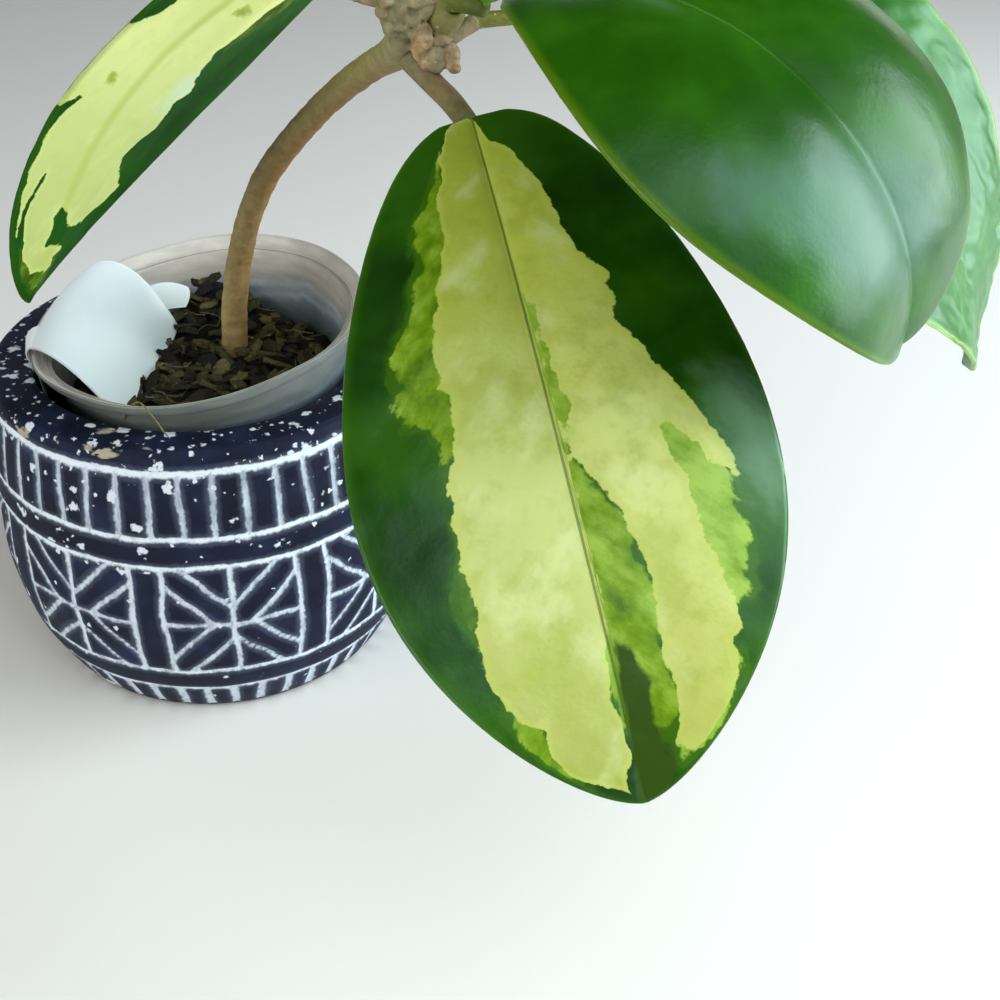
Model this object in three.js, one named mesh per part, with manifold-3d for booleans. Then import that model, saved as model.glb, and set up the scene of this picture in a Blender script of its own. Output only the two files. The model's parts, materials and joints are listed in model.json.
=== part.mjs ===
// Potted variegated hoya incrassata: a vine with four fleshy leaves in a translucent grower's pot,
// standing inside a navy ceramic cover pot. Millimetres, +Z up, origin at the middle of the ceramic
// pot's foot, on the surface that it stands on. +X is to the right and -Y is towards the viewer.

import * as THREE from 'three';
import { mergeVertices } from 'three/addons/utils/BufferGeometryUtils.js';
import Module from 'manifold-3d';

const wasm = await Module();
wasm.setup();

// Driving dimensions, in millimetres and degrees.
const clearance = 0.3; // left between pieces that touch
const potSegments = 60;
const potFloor = 6.4;
const potMouthRadius = 42.3;
const potRimHeight = 84.5;
const grooveDepth = 0.5;
const grooveHalfWidth = 0.9;
const ringHeights = [11.5, 19.5, 53.8, 62.0, 79.5]; // the five incised ring lines

const linerSegments = 48;
const linerHeight = 84;
const linerWall = 1.0;
const linerFloor = 1.2;
const linerFootRadius = 30;
const linerWallRadius = 41.2; // across the widest part of the plain wall
const linerRimRadius = 45.5;
const linerSqueeze = 0.945; // the thin wall is pressed a little oval, narrower along X
const linerTilt = -6.9; // it leans to the left, so its right side stands higher
const linerRimCentre = new THREE.Vector3(0.5, 0.5, 93.5);
const linerDrainRadius = 3.2;
const linerDrainCircle = 20;
const linerDrainCount = 6;

const soilLevel = 74;
const soilRings = 7;
const soilSectors = 32;
const soilHeap = { x: -3, y: 30, rise: 9, spread: 10 };
const barkChips = 32;

const labelThickness = 0.8;

const bladeRows = 18;
const bladeColumns = 8;
const bladeThickness = 1.4;
const bladeEdgeThickness = 0.8;
const bladeEndWidth = 1.2;
const stalkSides = 7;
const stalkSteps = 16;
const stemSides = 10;
const stemSteps = 34;

// A leaf: foot is where the blade begins, heading and rise say which way it sets out, roll turns it
// about its own length. droop and tipDroop bend the midrib down evenly and towards the tip, bend
// sideways, twist turns the blade along its length, foldLeft and foldRight lift the two halves into a
// V and curl rolls their edges down. fullness moves the widest place towards the tip, and footRound
// and tipRound say how blunt the two ends are. stalk is the petiole's path from the stem.
const leafSpecs = [
  {
    name: 'leaf_front',
    foot: [54.6, -78.3, 169.5], heading: -88.7, rise: -24.8, roll: 17.5,
    length: 132.3, width: 73.3, fullness: 1.21, footRound: 0.38, tipRound: 0.66,
    droop: 15.7, tipDroop: 10.8, bend: 2.8, twist: -8.9, foldLeft: 6.8, foldRight: 7.8, curl: 10.5,
    stalk: [[47.9, -61.5, 176.5], [49.6, -67.2, 172.8], [52.0, -73.0, 170.4]],
    stalkRadius: 2.4, color: 0x4f7a26,
  },
  {
    name: 'leaf_upper_right',
    foot: [57.1, -67.2, 187.6], heading: -68.2, rise: 29.4, roll: 16.6,
    length: 130.3, width: 74.4, fullness: 1.42, footRound: 0.81, tipRound: 0.66,
    droop: 82.8, tipDroop: 53.0, bend: -6.6, twist: 0, foldLeft: 21.5, foldRight: 12.6, curl: 52.3,
    stalk: [[48.3, -59.8, 181.0], [51.6, -61.8, 183.4], [54.4, -64.4, 185.6]],
    stalkRadius: 2.9, color: 0x2c5c1c,
  },
  {
    name: 'leaf_back_right',
    foot: [77.7, -52.0, 181.5], heading: -75.0, rise: 14.0, roll: 25.0,
    length: 130.3, width: 69.4, fullness: 1.05, footRound: 0.51, tipRound: 0.67,
    droop: 89.6, tipDroop: 28.4, bend: -44.8, twist: 2.7, foldLeft: 8.1, foldRight: 13.9, curl: 9.2,
    stalk: [[50.0, -58.5, 178.3], [59.3, -60.6, 181.3], [68.0, -58.5, 182.6], [74.5, -55.0, 182.2]],
    stalkRadius: 1.5, color: 0x3d6b3a,
  },
  {
    name: 'leaf_left',
    foot: [48.8, -47.9, 204.7], heading: 157.8, rise: -32.0, roll: 19.1,
    length: 125.3, width: 65.8, fullness: 0.99, footRound: 0.52, tipRound: 0.73,
    droop: 27.9, tipDroop: 8.3, bend: -9.4, twist: -0.3, foldLeft: 7.8, foldRight: 8.0, curl: 9.4,
    stalk: [[44.4, -59.5, 190.5], [46.6, -56.2, 197.0], [49.3, -51.6, 203.2]],
    stalkRadius: 2.3, color: 0x8fae4a,
  },
];

// The woody stem from its buried end up to the dried cut tip, with its radius at each point.
const stemRoute = [
  [7.6, 14.6, 52, 2.6], [8.4, 14.2, 62, 3.3], [8.9, 13.9, 74, 3.6], [10.2, 12.7, 90.3, 3.45],
  [13.5, 8.6, 108.5, 3.3], [19.6, -0.1, 128.3, 3.15], [29.9, -17.9, 149.1, 3.0],
  [39.0, -36.5, 164.7, 3.0], [44.6, -50.0, 173.2, 3.3], [47.6, -58.0, 178.8, 5.2],
  [46.4, -60.2, 184.2, 5.6], [44.6, -60.6, 190.0, 4.4], [43.0, -61.2, 195.0, 2.9], [42.2, -61.6, 199, 2.2],
];

// Small swellings and stubs on the stem's knuckle: centre, half sizes.
const knuckles = [
  { at: [48.6, -62.6, 176.6], size: [3.4, 3.0, 4.0] }, // brown bump
  { at: [50.6, -65.2, 177.6], size: [2.4, 2.2, 2.8] }, // left lobe of the cut side stub
  { at: [52.6, -65.0, 177.8], size: [2.1, 2.0, 2.7] }, // right lobe of the cut side stub
  { at: [43.2, -58.4, 183.6], size: [3.2, 3.0, 3.6] }, // left shoulder
  { at: [49.8, -60.2, 187.2], size: [3.0, 3.0, 3.4] }, // right shoulder
];
const driedStub = [[42.6, -58.6, 186.2, 2.4], [38.4, -57.4, 186.6, 1.7], [33.6, -56.6, 187.2, 0.9]];

const degrees = THREE.MathUtils.degToRad;

// A repeatable random number source.
function makeRandom(seed) {
  let state = seed;
  return () => {
    state = (state * 1664525 + 1013904223) % 4294967296;
    return state / 4294967296;
  };
}

// Solids as closed meshes, joined and cut.
function toSolid(geometry) {
  const bare = geometry.clone();
  bare.deleteAttribute('normal');
  bare.deleteAttribute('uv');
  const merged = mergeVertices(bare, 1e-4);
  return new wasm.Manifold(new wasm.Mesh({
    numProp: 3,
    vertProperties: new Float32Array(merged.attributes.position.array),
    triVerts: new Uint32Array(merged.index.array),
  }));
}

function toGeometry(solid) {
  const mesh = solid.getMesh();
  const geometry = new THREE.BufferGeometry();
  geometry.setAttribute('position', new THREE.BufferAttribute(new Float32Array(mesh.vertProperties), 3));
  geometry.setIndex(new THREE.BufferAttribute(new Uint32Array(mesh.triVerts), 1));
  return geometry;
}

function joinAll(solids) {
  return solids.reduce((whole, solid) => whole.add(solid));
}

// What is left of a solid when the scraps that a cut leaves loose are dropped.
function mainBody(solid) {
  return solid.decompose().reduce((best, piece) => (piece.volume() > best.volume() ? piece : best));
}

// A profile of [radius, height] pairs that starts and ends on the axis, turned about +Z.
function turned(profile, segments) {
  const points = profile.map(([r, z]) => new THREE.Vector2(r, z));
  const geometry = new THREE.LatheGeometry(points, segments);
  geometry.rotateX(Math.PI / 2);
  return geometry;
}

// A closed tube along a smooth route of [x, y, z, radius] points, with flat ends.
function tapered(route, sides, steps, extra = 0) {
  const curve = new THREE.CatmullRomCurve3(route.map((p) => new THREE.Vector3(p[0], p[1], p[2])));
  const positions = [];
  const indices = [];
  let across = new THREE.Vector3(1, 0, 0);
  for (let i = 0; i <= steps; i += 1) {
    const t = i / steps;
    const centre = curve.getPoint(t);
    const along = curve.getTangent(t);
    across = across.clone().addScaledVector(along, -across.dot(along)).normalize();
    const other = new THREE.Vector3().crossVectors(along, across);
    const place = t * (route.length - 1);
    const index = Math.min(Math.floor(place), route.length - 2);
    const radius = THREE.MathUtils.lerp(route[index][3], route[index + 1][3], place - index) + extra;
    for (let j = 0; j < sides; j += 1) {
      const angle = (2 * Math.PI * j) / sides;
      const point = centre.clone()
        .addScaledVector(across, radius * Math.cos(angle))
        .addScaledVector(other, radius * Math.sin(angle));
      positions.push(point.x, point.y, point.z);
    }
  }
  for (let i = 0; i < steps; i += 1) {
    for (let j = 0; j < sides; j += 1) {
      const a = i * sides + j;
      const b = i * sides + ((j + 1) % sides);
      indices.push(a, b, b + sides, a, b + sides, a + sides);
    }
  }
  for (let j = 1; j < sides - 1; j += 1) {
    indices.push(0, j + 1, j);
    indices.push(steps * sides, steps * sides + j, steps * sides + j + 1);
  }
  const geometry = new THREE.BufferGeometry();
  geometry.setAttribute('position', new THREE.Float32BufferAttribute(positions, 3));
  geometry.setIndex(indices);
  return geometry;
}

// A rounded lump.
function lump(centre, halfSizes, extra = 0) {
  const geometry = new THREE.SphereGeometry(1, 9, 6);
  geometry.scale(halfSizes[0] + extra, halfSizes[1] + extra, halfSizes[2] + extra);
  geometry.translate(...centre);
  return geometry;
}

// A closed solid between two grids of points of the same size, split into triangles alike.
function sheetSolid(upper, lower) {
  const rows = upper.length;
  const columns = upper[0].length;
  const positions = [];
  for (const grid of [upper, lower]) {
    for (const row of grid) {
      for (const point of row) positions.push(point.x, point.y, point.z);
    }
  }
  const at = (side, i, j) => side * rows * columns + i * columns + j;
  const indices = [];
  for (let i = 0; i < rows - 1; i += 1) {
    for (let j = 0; j < columns - 1; j += 1) {
      const [a, b, c, d] = [at(0, i, j), at(0, i + 1, j), at(0, i + 1, j + 1), at(0, i, j + 1)];
      indices.push(a, b, c, a, c, d);
      const [e, f, g, h] = [at(1, i, j), at(1, i + 1, j), at(1, i + 1, j + 1), at(1, i, j + 1)];
      indices.push(e, g, f, e, h, g);
    }
  }
  const rim = [];
  for (let i = 0; i < rows - 1; i += 1) rim.push([i, 0]);
  for (let j = 0; j < columns - 1; j += 1) rim.push([rows - 1, j]);
  for (let i = rows - 1; i > 0; i -= 1) rim.push([i, columns - 1]);
  for (let j = columns - 1; j > 0; j -= 1) rim.push([0, j]);
  rim.forEach(([i, j], k) => {
    const [m, n] = rim[(k + 1) % rim.length];
    indices.push(at(0, i, j), at(1, i, j), at(1, m, n), at(0, i, j), at(1, m, n), at(0, m, n));
  });
  const geometry = new THREE.BufferGeometry();
  geometry.setAttribute('position', new THREE.Float32BufferAttribute(positions, 3));
  geometry.setIndex(indices);
  return geometry;
}

function makePot() {
  const groove = (height, radiusBelow, radius, radiusAbove) => [
    [radiusBelow, height - grooveHalfWidth],
    [radius - grooveDepth, height],
    [radiusAbove, height + grooveHalfWidth],
  ];
  const profile = [
    [0, 0], [43.5, 0], [45.6, 1.4],
    ...groove(ringHeights[0], 51.3, 51.9, 52.3),
    ...groove(ringHeights[1], 54.3, 54.6, 54.8),
    [56.2, 27], [56.9, 34], [57.0, 42],
    ...groove(ringHeights[2], 56.5, 56.4, 56.3),
    ...groove(ringHeights[3], 56.2, 56.1, 56.0),
    ...groove(ringHeights[4], 54.2, 54.0, 53.8),
    [52.7, 83.2], [50.6, potRimHeight], [potMouthRadius + 0.8, potRimHeight],
    [potMouthRadius, potRimHeight - 0.8], [potMouthRadius, 78], [45.5, 73], [48.5, 54], [49.0, 36],
    [46.5, 20], [43.0, 10], [39.5, potFloor], [0, potFloor],
  ];
  return toSolid(turned(profile, potSegments));
}

// The liner's own frame stands on the middle of its foot, and leans with it.
const linerAxis = new THREE.Vector3(0, 0, 1).applyAxisAngle(new THREE.Vector3(0, 1, 0), degrees(linerTilt));
const linerFoot = linerRimCentre.clone().addScaledVector(linerAxis, -linerHeight);
const linerSlope = (linerWallRadius - linerFootRadius) / (linerHeight - 4.4);

function linerInside(height) {
  return linerFootRadius + linerSlope * height - linerWall;
}

function makeLiner() {
  const shoulder = linerHeight - 4.4;
  const profile = [
    [0, 0], [linerFootRadius, 0], [linerWallRadius, shoulder], [44.0, shoulder + 1.2],
    [linerRimRadius - 0.3, linerHeight - 0.5], [linerRimRadius - 0.8, linerHeight],
    [linerRimRadius - 1.6, linerHeight - 0.3], [42.9, shoulder + 1.9],
    [linerWallRadius - linerWall, shoulder + 0.8], [linerFootRadius - linerWall, linerFloor], [0, linerFloor],
  ];
  let solid = toSolid(turned(profile, linerSegments));
  for (let i = 0; i < linerDrainCount; i += 1) {
    const angle = (2 * Math.PI * i) / linerDrainCount;
    const hole = new THREE.CylinderGeometry(linerDrainRadius, linerDrainRadius, 6, 12);
    hole.rotateX(Math.PI / 2);
    hole.translate(linerDrainCircle * Math.cos(angle), linerDrainCircle * Math.sin(angle), 0);
    solid = solid.subtract(toSolid(hole));
  }
  return solid;
}

// Smooth bumps on the soil, from a few waves that do not repeat evenly.
function soilBump(x, y) {
  const waves = 0.9 * Math.sin(0.31 * x + 1.7) * Math.cos(0.27 * y - 0.4)
    + 0.7 * Math.sin(0.62 * y + 0.23 * x) + 0.5 * Math.cos(0.8 * x - 0.55 * y + 2.1);
  const fromHeap = Math.hypot(x - soilHeap.x, y - soilHeap.y) / soilHeap.spread;
  return waves + soilHeap.rise * Math.exp(-fromHeap * fromHeap);
}

// The top of the soil at a place given in the liner's own frame, as a height in that frame.
function soilTop(x, y) {
  const tilt = degrees(-linerTilt);
  const worldX = linerFoot.x + x * Math.cos(tilt) - 70 * Math.sin(tilt);
  const worldZ = soilLevel + soilBump(worldX, linerFoot.y + y);
  return (worldZ - linerFoot.z - x * Math.sin(tilt)) / Math.cos(tilt);
}

function makeSoil(stemSpace, labelSpace) {
  const bottom = linerFloor + clearance;
  const positions = [0, 0, bottom];
  const indices = [];
  const ringOf = (radiusAt, heightAt) => {
    for (let j = 0; j < soilSectors; j += 1) {
      const angle = (2 * Math.PI * j) / soilSectors;
      const [x, y] = [Math.cos(angle), Math.sin(angle)];
      const radius = radiusAt(x, y);
      positions.push(radius * x * linerSqueeze, radius * y, heightAt(radius * x * linerSqueeze, radius * y));
    }
  };
  const middling = linerInside(64);
  const edge = (x, y) => linerInside(soilTop(middling * x * linerSqueeze, middling * y)) - clearance;
  ringOf(() => linerInside(bottom) - clearance, () => bottom);
  for (let k = soilRings; k >= 1; k -= 1) ringOf((x, y) => (edge(x, y) * k) / soilRings, soilTop);
  positions.push(0, 0, soilTop(0, 0));
  for (let j = 0; j < soilSectors; j += 1) {
    const next = (j + 1) % soilSectors;
    indices.push(0, 1 + next, 1 + j);
    for (let k = 0; k < soilRings; k += 1) {
      const a = 1 + k * soilSectors;
      const b = a + soilSectors;
      indices.push(a + j, a + next, b + next, a + j, b + next, b + j);
    }
    const last = 1 + soilRings * soilSectors;
    indices.push(last + j, last + next, last + soilSectors);
  }
  const bed = new THREE.BufferGeometry();
  bed.setAttribute('position', new THREE.Float32BufferAttribute(positions, 3));
  bed.setIndex(indices);

  const random = makeRandom(7);
  const chips = [];
  for (let i = 0; i < barkChips; i += 1) {
    const radius = (middling - 8) * Math.sqrt(random());
    const angle = 2 * Math.PI * random();
    const [x, y] = [radius * Math.cos(angle) * linerSqueeze, radius * Math.sin(angle)];
    const chip = new THREE.BoxGeometry(5 + 6 * random(), 3 + 2 * random(), 2.2 + 1.4 * random());
    chip.rotateX(0.7 * (random() - 0.5));
    chip.rotateY(0.9 * (random() - 0.5));
    chip.rotateZ(Math.PI * random());
    chip.translate(x, y, soilTop(x, y) + 0.3);
    chips.push(toSolid(chip));
  }
  const leaned = joinAll([toSolid(bed), ...chips])
    .rotate([0, linerTilt, 0])
    .translate([linerFoot.x, linerFoot.y, linerFoot.z]);
  return mainBody(leaned.subtract(stemSpace).subtract(labelSpace));
}

// The label is one thin sheet: a flap that arches from the soil over the liner's left rim, and a
// narrow leg that hangs outside that rim.
function bezierPatch(net, u, v) {
  const weights = (t) => [(1 - t) * (1 - t), 2 * t * (1 - t), t * t];
  const point = new THREE.Vector3();
  weights(u).forEach((a, i) => {
    weights(v).forEach((b, j) => point.addScaledVector(new THREE.Vector3(...net[i][j]), a * b));
  });
  return point;
}

// A thin sheet whose middle surface passes through a grid of points.
function sheetThrough(grid, thickness) {
  const [rows, columns] = [grid.length, grid[0].length];
  const upper = grid.map(() => []);
  const lower = grid.map(() => []);
  for (let i = 0; i < rows; i += 1) {
    for (let j = 0; j < columns; j += 1) {
      const alongRows = grid[Math.min(i + 1, rows - 1)][j].clone().sub(grid[Math.max(i - 1, 0)][j]);
      const alongColumns = grid[i][Math.min(j + 1, columns - 1)].clone().sub(grid[i][Math.max(j - 1, 0)]);
      const normal = new THREE.Vector3().crossVectors(alongRows, alongColumns).normalize();
      upper[i].push(grid[i][j].clone().addScaledVector(normal, thickness / 2));
      lower[i].push(grid[i][j].clone().addScaledVector(normal, -thickness / 2));
    }
  }
  return sheetSolid(upper, lower);
}

const labelFlap = [
  [[-41.6, -4.5, 89.8], [-33.5, -15, 94.0], [-21.5, -19, 74.5]],
  [[-37.5, 13, 97.5], [-24, 6, 99.0], [-13, 3, 71.5]],
  [[-25.0, 28, 97.0], [-15, 34, 97.0], [-5.5, 27, 76.5]],
];
const labelLegFront = [
  [-40.8, -4.6, 90.0], [-42.3, -4.8, 89.7], [-42.9, -4.9, 88.4], [-42.4, -5.3, 86.9],
  [-41.3, -5.9, 85.0], [-40.7, -6.5, 83.0], [-39.9, -7.8, 78.0], [-39.2, -8.8, 72.0],
];
const labelLegBack = [
  [-39.0, 2.6, 92.6], [-41.3, 2.7, 91.8], [-42.9, 2.6, 89.8], [-42.7, 2.4, 87.3],
  [-41.7, 2.1, 85.0], [-41.3, 1.8, 83.0], [-40.8, 0.8, 78.0], [-40.2, 0.0, 72.0],
];

// With extra, the label grows by that much all round, for the slot that it stands in.
function makeLabel(extra = 0) {
  const thickness = labelThickness + 2 * extra;
  const reach = extra / 20;
  const flap = [];
  for (let i = 0; i <= 8; i += 1) {
    flap.push([]);
    for (let j = 0; j <= 10; j += 1) {
      const [u, v] = [i / 8, j / 10].map((t) => THREE.MathUtils.lerp(-reach, 1 + reach, t));
      flap[i].push(bezierPatch(labelFlap, u, v));
    }
  }
  const leg = [labelLegFront, labelLegBack].map((side) => side.map((p) => new THREE.Vector3(...p)));
  return toSolid(sheetThrough(flap, thickness)).add(toSolid(sheetThrough(leg, thickness)));
}

function makeStem(extra = 0) {
  const solids = [
    toSolid(tapered(stemRoute, stemSides, stemSteps, extra)),
    toSolid(tapered(driedStub, stalkSides, 4, extra)),
    ...knuckles.map(({ at, size }) => toSolid(lump(at, size, extra))),
  ];
  return joinAll(solids);
}

// The blade's half width at u, from 0 at the foot to 1 at the tip.
function halfWidth(spec, u) {
  const power = spec.footRound + (spec.tipRound - spec.footRound) * u;
  const swell = Math.max(Math.sin(Math.PI * u ** spec.fullness), 0);
  return Math.max((spec.width / 2) * swell ** power, bladeEndWidth / 2);
}

// The midrib's points and frames: along it, out of the blade's upper face, and to its left side.
function midrib(spec) {
  const [heading, rise, roll] = [spec.heading, spec.rise, spec.roll].map(degrees);
  const ahead = new THREE.Vector3(
    Math.cos(rise) * Math.cos(heading), Math.cos(rise) * Math.sin(heading), Math.sin(rise));
  const up = new THREE.Vector3(
    -Math.sin(rise) * Math.cos(heading), -Math.sin(rise) * Math.sin(heading), Math.cos(rise));
  const side = new THREE.Vector3().crossVectors(ahead, up);
  const upRolled = up.clone().multiplyScalar(Math.cos(roll)).addScaledVector(side, Math.sin(roll));
  const sideRolled = new THREE.Vector3().crossVectors(ahead, upRolled);
  const tangentAt = (u) => {
    const pitch = degrees(spec.droop) * u + degrees(spec.tipDroop) * u ** 3;
    const yaw = degrees(spec.bend) * u;
    const level = ahead.clone().multiplyScalar(Math.cos(yaw)).addScaledVector(sideRolled, Math.sin(yaw));
    return {
      along: level.clone().multiplyScalar(Math.cos(pitch)).addScaledVector(upRolled, -Math.sin(pitch)),
      out: level.clone().multiplyScalar(Math.sin(pitch)).addScaledVector(upRolled, Math.cos(pitch)),
    };
  };
  const stations = [];
  const point = new THREE.Vector3(...spec.foot);
  const substeps = 4;
  const step = 1 / (bladeRows * substeps);
  for (let i = 0; i <= bladeRows * substeps; i += 1) {
    if (i > 0) {
      const before = tangentAt((i - 1) * step).along;
      const after = tangentAt(i * step).along;
      point.addScaledVector(before.add(after), (step * spec.length) / 2);
    }
    if (i % substeps === 0) {
      const { along, out } = tangentAt(i * step);
      const left = new THREE.Vector3().crossVectors(along, out);
      const turn = degrees(spec.twist) * i * step;
      const normal = out.clone().multiplyScalar(Math.cos(turn)).addScaledVector(left, Math.sin(turn));
      stations.push({ point: point.clone(), along, normal, left: new THREE.Vector3().crossVectors(along, normal) });
    }
  }
  return stations;
}

function makeLeaf(spec, stemSpace) {
  const stations = midrib(spec);
  const upper = [];
  const lower = [];
  stations.forEach(({ point, normal, left }, i) => {
    const half = halfWidth(spec, i / bladeRows);
    upper.push([]);
    lower.push([]);
    for (let j = 0; j <= bladeColumns; j += 1) {
      const v = 1 - (2 * j) / bladeColumns;
      const across = half * Math.abs(v);
      const fold = degrees(v < 0 ? spec.foldRight : spec.foldLeft);
      const lift = fold - (degrees(spec.curl) * across) / spec.width;
      const slope = fold - (2 * degrees(spec.curl) * across) / spec.width;
      const place = point.clone()
        .addScaledVector(left, Math.sign(v) * across * Math.cos(lift))
        .addScaledVector(normal, across * Math.sin(lift));
      const face = normal.clone().multiplyScalar(Math.cos(slope))
        .addScaledVector(left, -Math.sign(v) * Math.sin(slope));
      const thickness = THREE.MathUtils.lerp(bladeThickness, bladeEdgeThickness, Math.abs(v));
      upper[i].push(place);
      lower[i].push(place.clone().addScaledVector(face, -thickness));
    }
  });
  const blade = toSolid(sheetSolid(upper, lower));

  // The petiole runs on under the blade as its raised midrib, and fades out past the middle.
  const route = spec.stalk.map((p, i) => [...p, spec.stalkRadius * (i === 0 ? 1.15 : 1)]);
  for (const [share, radius] of [[0.03, 1], [0.12, 0.8], [0.28, 0.6], [0.46, 0.42], [0.62, 0.28]]) {
    const station = stations[Math.round(share * bladeRows)];
    const size = spec.stalkRadius * radius;
    const centre = station.point.clone().addScaledVector(station.normal, -bladeThickness * 0.5 - size * 0.45);
    route.push([centre.x, centre.y, centre.z, size]);
  }
  const stalk = toSolid(tapered(route, stalkSides, stalkSteps));
  return mainBody(blade.add(stalk).subtract(stemSpace));
}

function piece(name, geometry, color, roughness) {
  const mesh = new THREE.Mesh(geometry, new THREE.MeshStandardMaterial({ color, roughness, metalness: 0 }));
  mesh.name = name;
  return mesh;
}

const stemSpace = makeStem(clearance);
const labelSpace = makeLabel(clearance);

const plant = new THREE.Group();
plant.add(piece('ceramic_pot', toGeometry(makePot()), 0x262f4a, 0.55));

const leaningLiner = new THREE.Group();
leaningLiner.position.copy(linerFoot);
leaningLiner.rotation.y = degrees(linerTilt);
leaningLiner.add(piece('nursery_liner', toGeometry(makeLiner()).scale(linerSqueeze, 1, 1), 0xb9b4aa, 0.4));
plant.add(leaningLiner);

plant.add(piece('potting_soil', toGeometry(makeSoil(stemSpace, labelSpace)), 0x2b2418, 1));
plant.add(piece('plant_label', toGeometry(makeLabel()), 0xdceef3, 0.35));
plant.add(piece('main_stem', toGeometry(makeStem()), 0x8a6b3e, 0.85));
for (const spec of leafSpecs) {
  plant.add(piece(spec.name, toGeometry(makeLeaf(spec, stemSpace)), spec.color, 0.35));
}

export default plant;
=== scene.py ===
# Potted variegated hoya incrassata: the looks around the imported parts.
# Sizes in the dictionaries are millimetres and degrees; meshes are in metres, +Z up, -Y towards the viewer.
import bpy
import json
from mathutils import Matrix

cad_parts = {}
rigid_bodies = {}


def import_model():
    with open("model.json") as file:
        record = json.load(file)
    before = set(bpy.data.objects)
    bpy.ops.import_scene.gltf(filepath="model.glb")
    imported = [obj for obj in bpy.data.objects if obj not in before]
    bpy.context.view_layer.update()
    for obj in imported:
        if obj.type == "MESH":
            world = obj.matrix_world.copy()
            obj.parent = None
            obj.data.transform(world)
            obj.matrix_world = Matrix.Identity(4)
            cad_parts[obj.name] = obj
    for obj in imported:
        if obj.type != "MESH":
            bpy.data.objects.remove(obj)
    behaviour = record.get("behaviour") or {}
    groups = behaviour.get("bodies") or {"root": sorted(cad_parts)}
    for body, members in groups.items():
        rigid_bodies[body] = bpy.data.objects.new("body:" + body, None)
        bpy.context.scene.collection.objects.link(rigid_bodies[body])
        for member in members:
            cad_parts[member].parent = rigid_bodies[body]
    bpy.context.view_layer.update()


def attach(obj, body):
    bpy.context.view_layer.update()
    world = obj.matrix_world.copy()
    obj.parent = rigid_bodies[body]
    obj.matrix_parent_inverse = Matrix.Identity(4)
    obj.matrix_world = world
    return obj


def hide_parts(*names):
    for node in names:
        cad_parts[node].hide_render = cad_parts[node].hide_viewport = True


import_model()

import json
import math
import random
from functools import partial

import bpy
import numpy as np
from mathutils import Matrix, Vector, noise

mm = 0.001
soft = {"interpolation_type": "SMOOTHSTEP"}  # for a Map Range node that eases in and out


# Shared helpers

def linearColor(hexText):
    channels = [int(hexText[i:i + 2], 16) / 255 for i in (1, 3, 5)]
    return [c / 12.92 if c <= 0.04045 else ((c + 0.055) / 1.055) ** 2.4 for c in channels] + [1.0]


def setInputs(node, inputs):
    # Fills sockets with values, hex colours or other nodes' outputs: a list goes in from the first socket on,
    # and a dictionary by the sockets' names or numbers.
    for key, value in inputs.items() if isinstance(inputs, dict) else enumerate(inputs):
        if isinstance(value, bpy.types.NodeSocket):
            node.id_data.links.new(value, node.inputs[key])
        else:
            node.inputs[key].default_value = linearColor(value) if str(value).startswith("#") else value


def addNode(tree, kind, inputs=None, stops=None, output=0, **settings):
    # Adds one node and gives one of its outputs, or the node itself where output is None.
    # A kind without the word Node is a shader node's.
    node = tree.nodes.new(kind if "Node" in kind else "ShaderNode" + kind)
    for key, value in settings.items():
        setattr(node, key, value)
    setInputs(node, inputs or {})
    if stops:
        ramp = node.color_ramp
        while len(ramp.elements) < len(stops):
            ramp.elements.new(0.5)
        for element, (place, color) in zip(ramp.elements, stops):
            element.position = place
            element.color = linearColor(color) if isinstance(color, str) else [color] * 3 + [1]
    return node if output is None else node.outputs[output]


def startMaterial(name, **shaderValues):
    # A material with one Principled shader, what adds its nodes, and its surface coordinates in millimetres.
    # A pattern's Scale is then how many of its features lie in a millimetre.
    material = bpy.data.materials.new(name)
    material.use_nodes = True
    material.node_tree.nodes.clear()
    add = partial(addNode, material.node_tree)
    shader = add("BsdfPrincipled", {key.replace("_", " "): value for key, value in shaderValues.items()},
                 output=None)
    add("OutputMaterial", {"Surface": shader.outputs[0]}, output=None)
    inMm = add("VectorMath", {0: add("TexCoord", output="Object"), "Scale": 1 / mm}, operation="SCALE")
    return material, add, shader, inMm


def layered(add, color, layers):
    # Lays colours over a first one, each with the share of the surface that it covers.
    for cover, paint in layers:
        color = add("Mix", {0: cover, 6: color, 7: paint}, data_type="RGBA", output=2)
    return color


def shadedBy(add, color, pattern, darkest, lightest):
    # A colour made darker and lighter by the ups and downs of a noise.
    light = add("MapRange", [pattern, 0.3, 0.7, darkest, lightest])
    return add("VectorMath", {0: color, "Scale": light}, operation="SCALE")


def finishSurface(add, shader, color, relief, strength, depth):
    # Gives a shader its colour and its fine relief, whose depth is in mm.
    bump = add("Bump", {"Height": relief, "Strength": strength, "Distance": depth * mm})
    setInputs(shader, {"Base Color": color, "Normal": bump})


def gridFaces(rows, columns, wrap=False):
    # Quads of a grid of rows by columns points; wrap joins the last column to the first.
    i, j = np.meshgrid(np.arange(rows - 1), np.arange(columns if wrap else columns - 1), indexing="ij")
    k = (j + 1) % columns
    quads = np.stack([i * columns + j, i * columns + k, (i + 1) * columns + k, (i + 1) * columns + j], -1)
    return quads.reshape(-1, 4).tolist()


def endFaces(rows, columns):
    # One flat face over the first ring of a wrapped grid and one over the last.
    last = (rows - 1) * columns
    return [list(range(columns)), list(range(last + columns - 1, last - 1, -1))]


def endFans(rows, columns):
    # Fans over the same two rings, from the two points that come after the grid's own.
    last, tip = (rows - 1) * columns, rows * columns
    fans = []
    for j in range(columns):
        k = (j + 1) % columns
        fans += [[tip, k, j], [tip + 1, last + j, last + k]]
    return fans


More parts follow.
